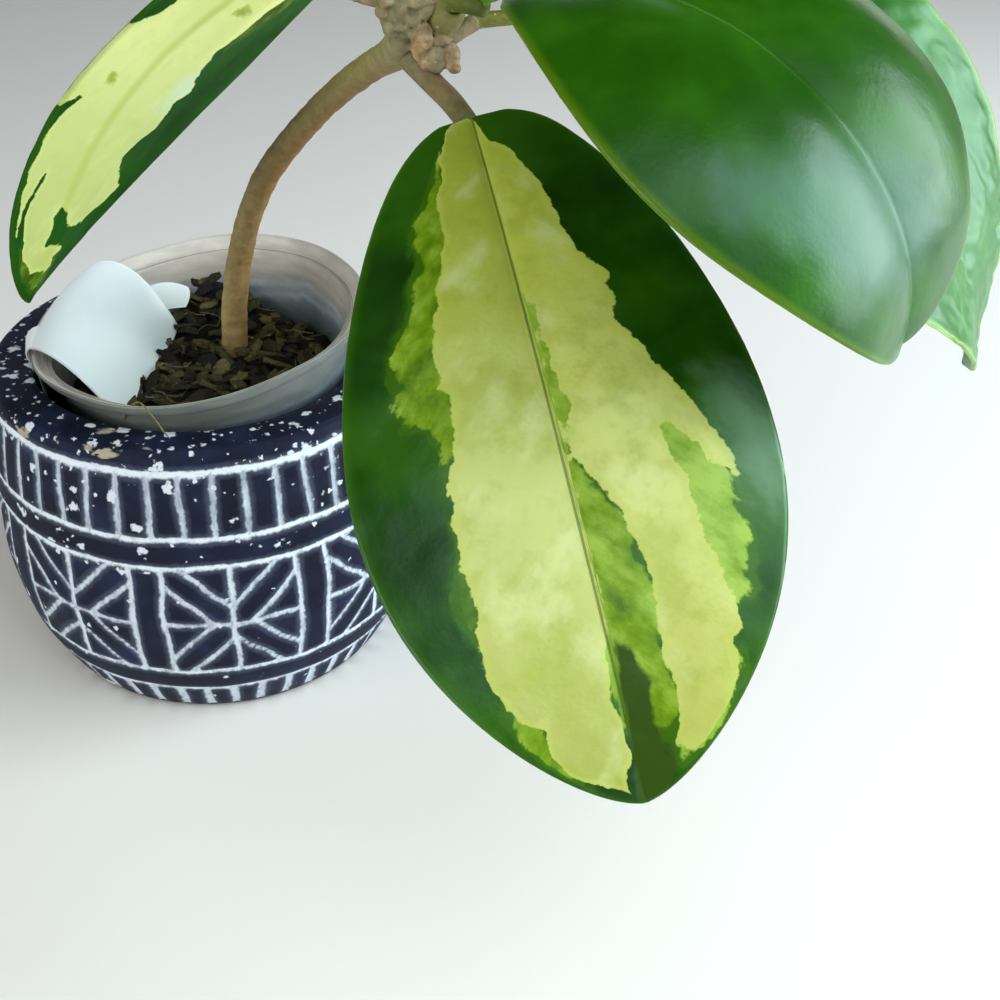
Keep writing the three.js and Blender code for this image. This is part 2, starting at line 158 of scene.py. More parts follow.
def sheetFaces(rows, columns):
    # Faces of a closed sheet: an upper grid, a lower grid and the strip round their rim.
    count = rows * columns
    grid = gridFaces(rows, columns)
    rim = ([(i, 0) for i in range(rows - 1)] + [(rows - 1, j) for j in range(columns - 1)]
           + [(i, columns - 1) for i in range(rows - 1, 0, -1)] + [(0, j) for j in range(columns - 1, 0, -1)])
    ring = [i * columns + j for i, j in rim]
    strip = [[a, b, b + count, a + count] for a, b in zip(ring, ring[1:] + ring[:1])]
    return [face[::-1] for face in grid] + [[a + count for a in face] for face in grid] + strip


def makePiece(name, points, faces, material, smooth=True):
    mesh = bpy.data.meshes.new(name)
    mesh.from_pydata((np.asarray(points) * mm).tolist(), [], faces)
    mesh.update()
    if smooth:
        mesh.shade_smooth()
    mesh.materials.append(material)
    piece = bpy.data.objects.new(name, mesh)
    bpy.context.scene.collection.objects.link(piece)
    return piece


def setValues(piece, name, values, kind="FLOAT"):
    # A named value, or vector, for each point of a piece's mesh.
    attribute = piece.data.attributes.new(name, kind, "POINT")
    key = "vector" if kind == "FLOAT_VECTOR" else "value"
    attribute.data.foreach_set(key, np.asarray(values, np.float32).ravel())


def smoothLine(points, count):
    # Evenly timed points on a smooth curve through all of the given points.
    points = np.asarray(points, float)
    padded = np.vstack([2 * points[0] - points[1], points, 2 * points[-1] - points[-2]])
    t = np.linspace(0, len(points) - 1, count)
    i = np.minimum(t.astype(int), len(points) - 2)
    f = (t - i)[:, None]
    a, b, c, d = padded[i], padded[i + 1], padded[i + 2], padded[i + 3]
    square, cube = 2 * a - 5 * b + 4 * c - d, 3 * b - 3 * c + d - a
    return 0.5 * (2 * b + (c - a) * f + square * f ** 2 + cube * f ** 3)


def unit(vectors):
    return vectors / np.maximum(np.linalg.norm(vectors, axis=-1, keepdims=True), 1e-12)


def tube(route, sides, rows):
    # Points and faces of a closed tube, and each point's share along it. A route point is x, y, z, radius.
    line = smoothLine(route, rows)
    centre, radius = line[:, :3], line[:, 3]
    along = unit(np.gradient(centre, axis=0))
    across = np.zeros_like(along)
    guide = np.array([1.0, 0.0, 0.0])
    for i in range(rows):
        guide = unit(guide - along[i] * (guide @ along[i]))
        across[i] = guide
    other = np.cross(along, across)
    angle = np.linspace(0, 2 * np.pi, sides, endpoint=False)[None, :, None]
    ring = across[:, None] * np.cos(angle) + other[:, None] * np.sin(angle)
    points = (centre[:, None] + ring * radius[:, None, None]).reshape(-1, 3)
    tips = centre[[0, -1]] + along[[0, -1]] * radius[[0, -1], None] * [[-0.35], [0.35]]  # slightly domed ends
    share = np.append(np.repeat(np.linspace(0, 1, rows), sides), [0, 1])
    return np.vstack([points, tips]), gridFaces(rows, sides, wrap=True) + endFans(rows, sides), share


def noiseAt(points, size, seed=0.0, octaves=3):
    # Fractal noise, about -1 to 1, with features of the given size.
    shift = Vector((seed * 13.7, seed * 7.1, seed * 3.3))
    return np.array([noise.fractal(Vector(p) / size + shift, 1.0, 2.0, octaves) for p in points])


# Camera: the photograph's own view, from above the front.
camera = {"place": (0.0, -331.8, 260.5), "ahead": (0.1960, 0.7989, -0.5686),
          "right": (0.9744, -0.2237, 0.0214), "lens": 50.4, "sensor": 36.0}
ahead = Vector(camera["ahead"]).normalized()
right = Vector(camera["right"])
right = (right - ahead * right.dot(ahead)).normalized()
up = right.cross(ahead)
cameraData = bpy.data.cameras.new("camera")
cameraData.lens, cameraData.sensor_width = camera["lens"], camera["sensor"]
cameraData.clip_start, cameraData.clip_end = 0.01, 20
cameraObject = bpy.data.objects.new("camera", cameraData)
bpy.context.scene.collection.objects.link(cameraObject)
turn = Matrix((right, up, -ahead)).transposed().to_4x4()
cameraObject.matrix_world = Matrix.Translation(Vector(camera["place"]) * mm) @ turn
bpy.context.scene.camera = cameraObject
print("camera ready")


# Stage and light: a pale floor in a pale room with a dim ceiling and a dimmer back, and area lights.
# Azimuth 0 is the front and 90 the right.
stage = {"floorSize": 5000, "floorColor": "#faf7f2", "wallColor": "#eef2f4", "wallStrength": 0.9,
         "ceilingStrength": 0.1, "wallTop": 0.05, "ceilingStart": 0.36, "backShare": 0.3}
softBoxes = {  # azimuth, elevation, distance, width and height, radiance, colour
    "windowRight": (78, 19, 800, (680, 640), 6.8, "#e9f7ff"),
    "windowGlow": (42, 48, 1100, (900, 760), 1.7, "#eef9ff"),
    "lampAbove": (-4, 62, 1400, (900, 800), 1.9, "#f6fbf9"),
    "reflectorLeft": (-62, 20, 900, (760, 480), 3.0, "#fffefa"),
    "reflectorBack": (168, 7, 1900, (2600, 640), 0.8, "#fffdf8"),
}
plantMiddle = Vector((50, -90, 130))
floorMaterial = startMaterial("pale matt floor", Roughness=0.9, Base_Color=stage["floorColor"])[0]
reach = stage["floorSize"] / 2
floor = makePiece("floor", [(-reach, -reach, 0), (reach, -reach, 0), (reach, reach, 0), (-reach, reach, 0)],
                  [[0, 1, 2, 3]], floorMaterial)
world = bpy.data.worlds.new("pale room")
world.use_nodes = True
add = partial(addNode, world.node_tree)
outward = add("SeparateXYZ", [add("TexCoord", output="Generated")], output=None).outputs
wall = add("MapRange", [outward["Z"], stage["wallTop"], stage["ceilingStart"], stage["wallStrength"],
                        stage["ceilingStrength"]], **soft)
behind = add("MapRange", [outward["Y"], -0.3, 0.5, 1.0, stage["backShare"]])
strength = add("Math", [wall, behind], operation="MULTIPLY")
setInputs(world.node_tree.nodes["Background"], {"Color": stage["wallColor"], "Strength": strength})
bpy.context.scene.world = world
for name, (azimuth, elevation, away, size, radiance, color) in softBoxes.items():
    light = bpy.data.lights.new(name, "AREA")
    light.shape = "RECTANGLE"
    light.size, light.size_y = size[0] * mm, size[1] * mm
    light.energy = radiance * math.pi * light.size * light.size_y
    light.color = linearColor(color)[:3]
    a, e = math.radians(azimuth), math.radians(elevation)
    towards = Vector((math.sin(a) * math.cos(e), -math.cos(a) * math.cos(e), math.sin(e)))
    lamp = bpy.data.objects.new(name, light)
    lamp.location = (plantMiddle + towards * away) * mm
    lamp.rotation_euler = towards.to_track_quat("Z", "Y").to_euler()
    bpy.context.scene.collection.objects.link(lamp)
bpy.context.scene.view_settings.view_transform = "Standard"
print("stage ready")


# Cover pot: navy matt stoneware, moulded with incised lines that hold a white wash.
pot = {
    "segments": 600, "outerRows": 142, "innerRows": 18, "floor": 6.4,
    # the lathed profile, outside from the foot up and inside from the rim down: radius, height
    "outer": [(45.0, 0.0), (47.4, 2.4), (51.9, 11.5), (54.6, 19.5), (56.9, 34.0), (56.8, 44.0),
              (56.4, 53.8), (56.1, 62.0), (55.3, 71.0), (54.0, 79.5), (52.9, 83.0), (51.6, 84.4)],
    "inner": [(50.6, 84.6), (46.5, 84.7), (43.4, 84.6), (42.5, 84.0), (42.3, 82.0), (42.3, 78.0),
              (45.5, 73.0), (48.5, 54.0), (49.0, 36.0), (46.5, 20.0), (43.0, 10.0), (39.5, 6.4), (20.0, 6.4),
              (0.4, 6.4)],
    "rings": [(11.5, 1.15), (19.5, 1.3), (53.8, 1.35), (62.0, 1.45), (79.5, 1.75)],  # height, width
    "ribSpacing": 8.0, "ribTurn": -41.3, "frontPanels": (-41.7, 0.7, 43.1), "backPanels": 5,  # degrees
    "panelShare": 0.405,  # half a panel's width as a share of the panels' spacing
    "slantShift": 0.28,  # how far the slants lie beside the diagonals, as a share of half the panel
    # lines: width and how white
    "rib": (1.45, 0.62), "flute": (2.1, 0.8), "frameLine": (1.35, 0.8), "upright": (1.35, 0.85),
    "level": (1.2, 0.75), "slant": (1.2, 0.75), "grooveDepth": 0.42, "grooveSlope": 0.9,
    "bodyColors": [(0.35, "#0b1124"), (0.55, "#121a33"), (0.7, "#1c2644")],
    "washThin": "#96a7c2", "washThick": "#e8f2fc", "smear": "#9fb0cc", "spatter": "#dfe8f2",
    "clay": "#b2aa96",
    # share of the spatter's cells that hold a dab, by height as a share of 100 mm
    "spatterShares": [(0.2, 0.06), (0.5, 0.1), (0.56, 0.4), (0.62, 0.14), (0.76, 0.25), (0.81, 0.8),
                      (0.845, 0.75)],
}
noLine = 9.0  # a gap in mm that stands for no line near


def lineField(azimuth, height):
    # Distance in mm to the nearest line's edge, negative inside it, and how white that line is.
    wobble = 0.25 * np.sin(azimuth * 11.3 + height * 0.21)
    wobble += 0.2 * np.sin(azimuth * 23.1 + 1.3 - height * 0.37)
    best = np.full(azimuth.shape, noLine)
    white = np.full(azimuth.shape, 1.0)

    def stroke(distance, width, tone, where=True):
        nonlocal best, white
        gap = np.where(where, np.abs(distance), noLine) - width / 2
        white = np.where(gap < best, tone, white)
        best = np.minimum(best, gap)

    radii, heights = zip(*pot["outer"])
    radius = np.interp(height, heights, radii)
    turned = np.degrees(azimuth)
    for ringHeight, width in pot["rings"]:
        stroke(height - ringHeight + wobble * 0.5, width, 1.0)
    footRing, low, high, collarLow, collarHigh = [ring[0] for ring in pot["rings"]]
    spacing = pot["ribSpacing"]
    fromRib = (turned - pot["ribTurn"] + spacing / 2) % spacing - spacing / 2
    ribGap = np.radians(fromRib) * radius + wobble * 0.8
    stroke(ribGap, *pot["rib"], (height > collarLow) & (height < collarHigh))
    stroke(ribGap, *pot["flute"], (height < footRing) & (height > 1.0))

    # square panels of eight-rayed stars, close in spacing round the front and a little wider behind
    front = list(pot["frontPanels"])
    gapBehind = (360 + front[0] - front[-1]) / (pot["backPanels"] + 1)
    centres = front + [front[-1] + gapBehind * (k + 1) for k in range(pot["backPanels"])]
    middle, halfHeight = (low + high) / 2, (high - low) / 2
    inBelly = (height > low) & (height < high)
    y = (height - middle) / halfHeight
    for index, centre in enumerate(centres):
        period = front[1] - front[0] if index < len(front) else gapBehind
        halfTurn = period * pot["panelShare"]
        x = ((turned - centre + 180) % 360 - 180) / halfTurn
        halfAcross = np.radians(halfTurn) * radius
        inside = inBelly & (np.abs(x) < 1.0)
        slant = (np.abs(np.abs(y) - np.abs(x)) - pot["slantShift"]) * halfHeight * 0.707  # across 45 degrees
        stroke((np.abs(x) - 1) * halfAcross + wobble, *pot["frameLine"], inBelly)
        stroke(x * halfAcross + wobble, *pot["upright"], inside)
        stroke(y * halfHeight + wobble * 1.2, *pot["level"], inside)
        stroke(slant + wobble * 0.9, *pot["slant"], inside)
    return best, white


def makeCoverPot(material):
    outer = smoothLine(pot["outer"], pot["outerRows"])
    profile = np.vstack([outer, smoothLine(pot["inner"], pot["innerRows"])])
    azimuth = np.linspace(-np.pi, np.pi, pot["segments"], endpoint=False)
    turn, height = np.meshgrid(azimuth, profile[:, 1])
    gap, white = lineField(turn, height)
    gap[len(outer):] = noLine
    cut = np.clip(0.5 - gap / pot["grooveSlope"], 0, 1)
    radius = profile[:, :1] - pot["grooveDepth"] * cut * cut * (3 - 2 * cut)
    points = np.stack([radius * np.sin(turn), -radius * np.cos(turn), height], -1).reshape(-1, 3)
    rows, segments = turn.shape
    piece = makePiece("coverPot", np.vstack([points, [0, 0, 0], [0, 0, pot["floor"]]]),
                      gridFaces(rows, segments, wrap=True) + endFans(rows, segments), material)
    setValues(piece, "lineGap", np.append(gap, [noLine, noLine]))
    setValues(piece, "lineWhite", np.append(white, [0, 0]))
    return piece


def flecks(add, place, size, amount, smallest, largest):
    # Irregular dabs about the middles of random cells. place is in mm, size is a cell's, and amount is the
    # share of the cells that hold a dab. smallest and largest are a dab's radius as shares of the cell.
    bent = add("TexNoise", {"Vector": place, "Scale": 2.6 / size, "Detail": 3.0}, output="Color")
    moved = add("VectorMath", [bent, (0.75 * size,) * 3, place], operation="MULTIPLY_ADD")
    cells = add("TexVoronoi", {"Vector": moved, "Scale": 1 / size}, output=None).outputs
    draw = add("SeparateColor", [cells["Color"]], output=None).outputs
    chosen = add("Math", [draw[0], amount], operation="LESS_THAN")
    reach = add("MapRange", [draw[1], 0.0, 1.0, smallest, largest])
    room = add("Math", [reach, cells["Distance"]], operation="SUBTRACT")
    dab = add("MapRange", [room, -0.03, 0.06])
    return add("Math", [dab, chosen], operation="MULTIPLY")


def stonewareMaterial():
    # Matt glazed stoneware: a dry navy body, white wash in the lines, white spatter and bare beige chips.
    material, add, shader, inMm = startMaterial("matt navy stoneware with white wash", IOR=1.45,
                                                Specular_IOR_Level=0.22)
    gap, tone = [add("Attribute", attribute_name=label, output="Fac") for label in ("lineGap", "lineWhite")]
    ragged = add("TexNoise", {"Vector": inMm, "Scale": 0.55, "Detail": 5.0, "Roughness": 0.65})
    edge = add("Math", [ragged, -0.5], operation="ADD")
    gapRagged = add("Math", [edge, 1.5, gap], operation="MULTIPLY_ADD")
    inLine = add("MapRange", [gapRagged, 0.3, -0.4], **soft)
    # the wash is thick in the ring lines, rubbed thin in strokes down the ribs and smeared round each line
    stroked = add("VectorMath", [inMm, (1.0, 1.0, 0.22)], operation="MULTIPLY")
    worn = add("TexNoise", {"Vector": stroked, "Scale": 0.8, "Detail": 5.0, "Roughness": 0.6})
    thick = add("Math", [tone, 0.5, worn], operation="MULTIPLY_ADD")
    cover = add("MapRange", [thick, 0.58, 0.92, 0.38])
    wash = add("Math", [inLine, cover], operation="MULTIPLY")
    washColor = layered(add, pot["washThin"], [(tone, pot["washThick"])])
    smear = add("MapRange", [gapRagged, 1.5, 0.1, 0.0, 0.16])

    # spatter: dabs of 1 to 4 mm, thick on the rim and collar, thinner below, drips between the ring lines
    height = add("SeparateXYZ", [inMm], output="Z")
    heightShare = add("MapRange", [height, 0.0, 100.0])
    amount = add("ValToRGB", [heightShare], stops=pot["spatterShares"])
    broad = flecks(add, inMm, 4.6, amount, 0.12, 0.38)
    fine = flecks(add, inMm, 2.3, amount, 0.1, 0.34)
    spatter = add("Math", [broad, fine], operation="MAXIMUM")
    onRim = add("MapRange", [height, 79.0, 81.0, 0.0, 0.42])
    flatter = add("VectorMath", [inMm, (0.55, 0.8, 1.7)], operation="MULTIPLY")
    chips = flecks(add, flatter, 7.0, onRim, 0.16, 0.38)

    cloud = add("TexNoise", {"Vector": inMm, "Scale": 0.11, "Detail": 5.0})
    color = layered(add, add("ValToRGB", [cloud], stops=pot["bodyColors"]), [
        (smear, pot["smear"]), (wash, washColor), (spatter, pot["spatter"]), (chips, pot["clay"])])
    rough = add("MapRange", [wash, 0.0, 1.0, 0.6, 0.9])
    grain = add("TexNoise", {"Vector": inMm, "Scale": 2.2, "Detail": 3.0})
    dabbed = add("Math", [spatter, chips], operation="SUBTRACT")
    raised = add("Math", [dabbed, 0.9, grain], operation="MULTIPLY_ADD")
    setInputs(shader, {"Roughness": rough})
    finishSurface(add, shader, color, raised, 0.4, 0.25)
    return material


coverPot = makeCoverPot(stonewareMaterial())
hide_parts("ceramic_pot")
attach(coverPot, "root")
print("cover pot ready")


# Grower's pot: thin translucent polypropylene, pressed a little oval, leaning to the left.
liner = {
    "segments": 240, "height": 84.0, "wall": 0.8, "footRadius": 30.0, "wallRadius": 41.2, "rimRadius": 45.5,
    "rimHeight": 4.4, "squeeze": 0.945, "tilt": -6.9, "rimCentre": (0.5, 0.5, 93.5), "wave": 0.35,
    # colours up the wall: dark blue-grey low down is painted shade near the soil, then grey and white bands
    # of dried water, then the beige lip
    "colors": [(0.1, "#5d6b73"), (0.3, "#76868f"), (0.38, "#93a3ad"), (0.43, "#c6d1d8"), (0.49, "#b4c2cc"),
               (0.55, "#dce3e6"), (0.6, "#cbcbc8"), (0.68, "#ebe2d5"), (0.9, "#f6eee3")],
    # painted shade on the outer wall, which lies under the lip and next to the cover pot's rim
    "outerGapShade": "#9ba6ab",
}
tiltTurn = math.radians(liner["tilt"])
linerAxis = np.array([math.sin(tiltTurn), 0.0, math.cos(tiltTurn)])
linerFoot = np.array(liner["rimCentre"]) - linerAxis * liner["height"]
linerSlope = (liner["wallRadius"] - liner["footRadius"]) / (liner["height"] - liner["rimHeight"])


def leaned(points):
    # From the liner's own upright frame into the scene.
    c, s = math.cos(tiltTurn), math.sin(tiltTurn)
    x, y, z = points[..., 0], points[..., 1], points[..., 2]
    return np.stack([x * c + z * s, y, -x * s + z * c], -1) + linerFoot


def makeLiner(material):
    top, foot, wide, rim = [liner[key] for key in ("height", "footRadius", "wallRadius", "rimRadius")]
    wall = liner["wall"]
    shoulder = top - liner["rimHeight"]
    steps = [(foot + 2.8, 20.0), (foot + 5.6, 40.0), (foot + 8.4, 60.0)]
    outside = [(0.3, 0.0), (foot * 0.5, 0.0), (foot - 1.5, 0.0), (foot, 0.8), *steps, (wide, shoulder),
               (wide + 1.2, shoulder + 0.5), (rim - 1.6, shoulder + 1.2), (rim - 0.4, top - 0.8)]
    lip = [(rim - 0.1, top - 0.2), (rim - 0.6, top + 0.1), (rim - 1.3, top - 0.4)]
    inside = [(rim - 2.6, shoulder + 2.0), (wide - wall + 0.6, shoulder + 1.2), (wide - wall, shoulder),
              *[(radius - wall, height) for radius, height in steps[::-1]], (foot - wall, 1.4),
              (foot * 0.5, 1.2), (0.3, 1.2)]
    profile = smoothLine(outside + lip + inside, 130)
    turn = np.linspace(-np.pi, np.pi, liner["segments"], endpoint=False)[None]
    radius, height = profile[:, :1], profile[:, 1:]
    share = np.clip(height / top, 0, 1)
    waves = np.sin(3 * turn + 0.6) + 0.7 * np.sin(5 * turn + 2.0) + 0.4 * np.sin(9 * turn)
    radius = radius + liner["wave"] * share ** 2 * waves * (share > 0.3)
    height = height + share ** 6 * (0.45 * np.sin(2 * turn + 1.0) + 0.3 * np.sin(5 * turn))
    points = np.stack([radius * np.sin(turn) * liner["squeeze"], -radius * np.cos(turn), height], -1)
    piece = makePiece("growersPot", leaned(points).reshape(-1, 3),
                      gridFaces(len(profile), liner["segments"], wrap=True), material)
    setValues(piece, "height", np.repeat(profile[:, 1], liner["segments"]))
    outer = np.arange(len(profile)) < np.argmax(profile[:, 1])
    setValues(piece, "outerSide", np.repeat(outer.astype(float), liner["segments"]))
    return piece


def polypropyleneMaterial():
    # Thin polypropylene gone cloudy: a milky beige lip, and below it grey walls with bands of dried water,
    # darker towards the soil in painted shade, and an outer side darkened by painted shade.
    material, add, shader, inMm = startMaterial(
        "cloudy polypropylene", IOR=1.49, Roughness=0.36, Transmission_Weight=0.35, Coat_Weight=0.15,
        Coat_Roughness=0.25)
    height, outerSide = [add("Attribute", attribute_name=key, output="Fac")
                         for key in ("height", "outerSide")]
    marks = add("TexNoise", {"Vector": inMm, "Scale": 0.06, "Detail": 6.0, "Roughness": 0.6})
    level = add("Math", [marks, 9.0, height], operation="MULTIPLY_ADD")
    band = add("MapRange", [level, 60.0, 90.0])
    # the outer side darkened as painted shade
    tint = layered(add, "#ffffff", [(outerSide, liner["outerGapShade"])])
    waterBandsAndShade = add("ValToRGB", [band], stops=liner["colors"])
    color = add("VectorMath", [waterBandsAndShade, tint], operation="MULTIPLY")
    flat = add("VectorMath", [inMm, (0.25, 0.25, 1.0)], operation="MULTIPLY")
    streak = add("TexNoise", {"Vector": flat, "Scale": 0.5, "Detail": 5.0})
    scuff = add("TexNoise", {"Vector": inMm, "Scale": 0.5, "Detail": 4.0})
    finishSurface(add, shader, shadedBy(add, color, streak, 0.86, 1.14), scuff, 0.25, 0.4)
    return material


growersPot = makeLiner(polypropyleneMaterial())
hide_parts("nursery_liner")
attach(growersPot, "root")
print("grower's pot ready")


# Potting mix: fine dark coir with bark chips and strands over it.
soil = {
    "level": 74.0, "heap": (6.0, 33.0, 13.0, 8.0),  # heap: x, y, rise and spread
    "rings": 70, "sectors": 200, "bareRings": 4, "sideHeights": (60, 40, 20, 3), "edgeGap": 0.35,
    "middleHeight": 70, "edgeHeight": 64,  # of the bed above the liner's foot, roughly
    "seed": 11,
    "chips": {"Count": 380, "Lift": 0.0006, "Lean": 0.6, "Smallest": 0.55, "Largest": 1.2},  # lift in metres
    "strands": {"Count": 60, "Lift": 0.0018, "Lean": 0.35, "Smallest": 0.5, "Largest": 1.1},
    "dustColors": [(0.4, "#060604"), (0.55, "#110f08"), (0.66, "#2a2713"), (0.78, "#454020")],
    "barkColors": [(0.0, "#0b0a05"), (0.3, "#1e190d"), (0.55, "#35321a"), (0.8, "#57522c"),
                   (0.95, "#7c7144")],
    # a chip's length, width, thickness and seed; a strand's length, radius and seed
    "chipSizes": [(9, 3.8, 1.5, 1), (6.5, 4.4, 1.8, 2), (11, 2.8, 1.3, 3), (4.5, 3.0, 1.9, 4)],
    "strandSizes": [(9, 0.2, 5), (7, 0.28, 6), (13, 0.17, 7)],
    "root": [(-20.5, -30.0, 80.5, 0.22), (-18.5, -36.5, 88.0, 0.24), (-15.5, -41.5, 93.0, 0.22),
             (-12.5, -45.2, 90.8, 0.2), (-10.5, -46.4, 87.2, 0.17), (-9.4, -46.7, 85.6, 0.12)],
}


def soilTop(x, y):
    # Height of the bed in the liner's frame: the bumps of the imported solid, with the heap a little higher.
    tilt = -tiltTurn
    worldX = linerFoot[0] + x * math.cos(tilt) - soil["middleHeight"] * math.sin(tilt)
    worldY = linerFoot[1] + y
    waves = (0.9 * np.sin(0.31 * worldX + 1.7) * np.cos(0.27 * worldY - 0.4)
             + 0.7 * np.sin(0.62 * worldY + 0.23 * worldX) + 0.5 * np.cos(0.8 * worldX - 0.55 * worldY + 2.1))
    heapX, heapY, rise, spread = soil["heap"]
    away = np.hypot(worldX - heapX, worldY - heapY) / spread
    worldZ = soil["level"] + waves + rise * np.exp(-away * away)
    return (worldZ - linerFoot[2] - x * math.sin(tilt)) / math.cos(tilt)


def soilRadius(height):
    # Where the mix meets the liner's wall, at a height in the liner's frame.
    return liner["footRadius"] + linerSlope * height - liner["wall"]


def makeSoil(material):
    turn = np.linspace(-np.pi, np.pi, soil["sectors"], endpoint=False)
    cosine, sine = np.cos(turn) * liner["squeeze"], np.sin(turn)
    wall = soilRadius(soil["edgeHeight"])
    edge = soilRadius(soilTop(wall * cosine, wall * sine)) - soil["edgeGap"]
    rows = []
    for share in np.linspace(0.004, 1, soil["rings"]):
        x, y = edge * share * cosine, edge * share * sine
        flat = np.stack([x, y, np.zeros_like(x)], -1)
        crumbs = 1.3 * noiseAt(flat, 5.0, 1.0) + 0.7 * noiseAt(flat, 1.8, 2.0)
        rows.append(np.stack([x, y, soilTop(x, y) + crumbs * min(1.0, (1 - share) * 12)], -1))
    for height in soil["sideHeights"]:
        radius = soilRadius(height) - soil["edgeGap"]
        rows.append(np.stack([radius * cosine, radius * sine, np.full_like(turn, height)], -1))
    points = leaned(np.array(rows).reshape(-1, 3))
    faces = [face[::-1] for face in gridFaces(len(rows), soil["sectors"], wrap=True)]
    piece = makePiece("pottingMix", points, faces + endFaces(len(rows), soil["sectors"]), material)
    setValues(piece, "bed", np.arange(len(points)) < (soil["rings"] - soil["bareRings"]) * soil["sectors"])
    return piece


def pottingMaterial():
    # Damp coir dust and bark: nearly black where wet, olive and brown where crumbs catch the light.
    material, add, shader, inMm = startMaterial("damp coir and bark dust", Roughness=0.92, IOR=1.4)
    grain = add("TexNoise", {"Vector": inMm, "Scale": 0.55, "Detail": 8.0, "Roughness": 0.7})
    finishSurface(add, shader, add("ValToRGB", [grain], stops=soil["dustColors"]), grain, 0.9, 1.2)
    return material


def barkMaterial():
    # Pine bark chips and coir strands: dull brown to olive, each piece its own tone.
    material, add, shader, inMm = startMaterial("bark chips and coir strands", Roughness=0.85, IOR=1.45)
    tone = add("Attribute", attribute_name="chipTone", output="Fac")
    color = add("ValToRGB", [tone], stops=soil["barkColors"])
    fiber = add("TexNoise", {"Vector": inMm, "Scale": 1.4, "Detail": 5.0})
    finishSurface(add, shader, shadedBy(add, color, fiber, 0.6, 1.35), fiber, 0.6, 0.5)
    return material


def chipShape(length, width, thickness, seed):
    # One flat, split piece of bark, about the origin, long side along X.
    rng = random.Random(seed)
    rows, columns = 7, 4
    points = []
    for side in (1, -1):
        for i in range(rows):
            along = i / (rows - 1) * 2 - 1
            taper = (1 - abs(along) ** 2.4) ** 0.5 * 0.85 + 0.15
            for j in range(columns):
                across = j / (columns - 1) * 2 - 1
                points.append((along * length / 2 + rng.uniform(-0.3, 0.3),
                               across * width / 2 * taper + 0.12 * length * along * along,
                               side * thickness / 2 * (1 - 0.6 * across * across) + rng.uniform(-0.15, 0.15)))
    return points, sheetFaces(rows, columns)


def strandShape(length, radius, seed):
    rng = random.Random(seed)
    route = [(length * (i / 4 - 0.5), length * rng.uniform(-0.16, 0.16), length * rng.uniform(0, 0.12),
              radius) for i in range(5)]
    return tube(route, 4, 9)[:2]


def scatterTree(name, inputs, shapes, material, seed, toneRange):
    # Geometry Nodes: strews shapes over a surface's bed, each turned, sized and toned at random.
    tree = bpy.data.node_groups.new(name, "GeometryNodeTree")
    tree.interface.new_socket("Surface", in_out="INPUT", socket_type="NodeSocketGeometry")
    for label in inputs:
        kind = "NodeSocketInt" if label == "Count" else "NodeSocketFloat"
        tree.interface.new_socket(label, in_out="INPUT", socket_type=kind)
    tree.interface.new_socket("Pieces", in_out="OUTPUT", socket_type="NodeSocketGeometry")
    add = partial(addNode, tree)
    given = add("NodeGroupInput", output=None).outputs
    area = add("GeometryNodeInputMeshFaceArea")
    bed = add("GeometryNodeInputNamedAttribute", {"Name": "bed"}, data_type="FLOAT")
    share = add("Math", [area, bed], operation="MULTIPLY")
    total = add("GeometryNodeAttributeStatistic", {"Geometry": given["Surface"], 2: share}, domain="FACE",
                output="Sum")
    perArea = add("Math", [given["Count"], total], operation="DIVIDE")
    density = add("Math", [perArea, bed], operation="MULTIPLY")
    spread = add("GeometryNodeDistributePointsOnFaces",
                 {"Mesh": given["Surface"], "Density": density, "Seed": seed}, output="Points")
    lift = add("CombineXYZ", {2: given["Lift"]})
    raised = add("GeometryNodeSetPosition", {"Geometry": spread, "Offset": lift})
    pool = add("GeometryNodeCollectionInfo",
               {"Collection": shapes, "Separate Children": True, "Reset Children": True})
    lean = add("Math", [given["Lean"], -1.0], operation="MULTIPLY")
    lowest = add("CombineXYZ", [lean, lean, -3.14])
    highest = add("CombineXYZ", [given["Lean"], given["Lean"], 3.14])
    turned = add("FunctionNodeRandomValue", {0: lowest, 1: highest, "Seed": seed + 1},
                 data_type="FLOAT_VECTOR")
    sized = add("FunctionNodeRandomValue", {2: given["Smallest"], 3: given["Largest"], "Seed": seed + 2},
                output=1)
    strewn = add("GeometryNodeInstanceOnPoints", {
        "Points": raised, "Instance": pool, "Pick Instance": True, "Rotation": turned, "Scale": sized})
    tone = add("FunctionNodeRandomValue", {2: toneRange[0], 3: toneRange[1], "Seed": seed + 3}, output=1)
    toned = add("GeometryNodeStoreNamedAttribute", {"Geometry": strewn, "Name": "chipTone", "Value": tone},
                data_type="FLOAT", domain="INSTANCE")
    whole = add("GeometryNodeRealizeInstances", {0: toned})
    finished = add("GeometryNodeSetMaterial", {"Geometry": whole, "Material": material})
    add("NodeGroupOutput", {0: finished}, output=None)
    return tree


def scatterOver(name, surface, shapes, material, inputs, seed, toneRange):
    # A piece made of copies of the shapes, strewn over a surface.
    collection = bpy.data.collections.new(name + "Shapes")
    for index, (points, faces) in enumerate(shapes):
        shape = makePiece(f"{name}Shape{index}", points, faces, material, smooth=False)
        bpy.context.scene.collection.objects.unlink(shape)
        collection.objects.link(shape)
    tree = scatterTree(name, inputs, collection, material, seed, toneRange)
    holder = bpy.data.objects.new(name + "Maker", surface.data.copy())
    bpy.context.scene.collection.objects.link(holder)
    modifier = holder.modifiers.new(name, "NODES")
    modifier.node_group = tree
    for item in tree.interface.items_tree:
        if item.in_out == "INPUT" and item.name in inputs:
            modifier[item.identifier] = inputs[item.name]
    mesh = bpy.data.meshes.new_from_object(holder.evaluated_get(bpy.context.evaluated_depsgraph_get()))
    bpy.data.objects.remove(holder)
    for shape in list(collection.objects):
        bpy.data.objects.remove(shape)
    bpy.data.collections.remove(collection)
    bpy.data.node_groups.remove(tree)
    mesh.name = name
    piece = bpy.data.objects.new(name, mesh)
    bpy.context.scene.collection.objects.link(piece)
    return piece


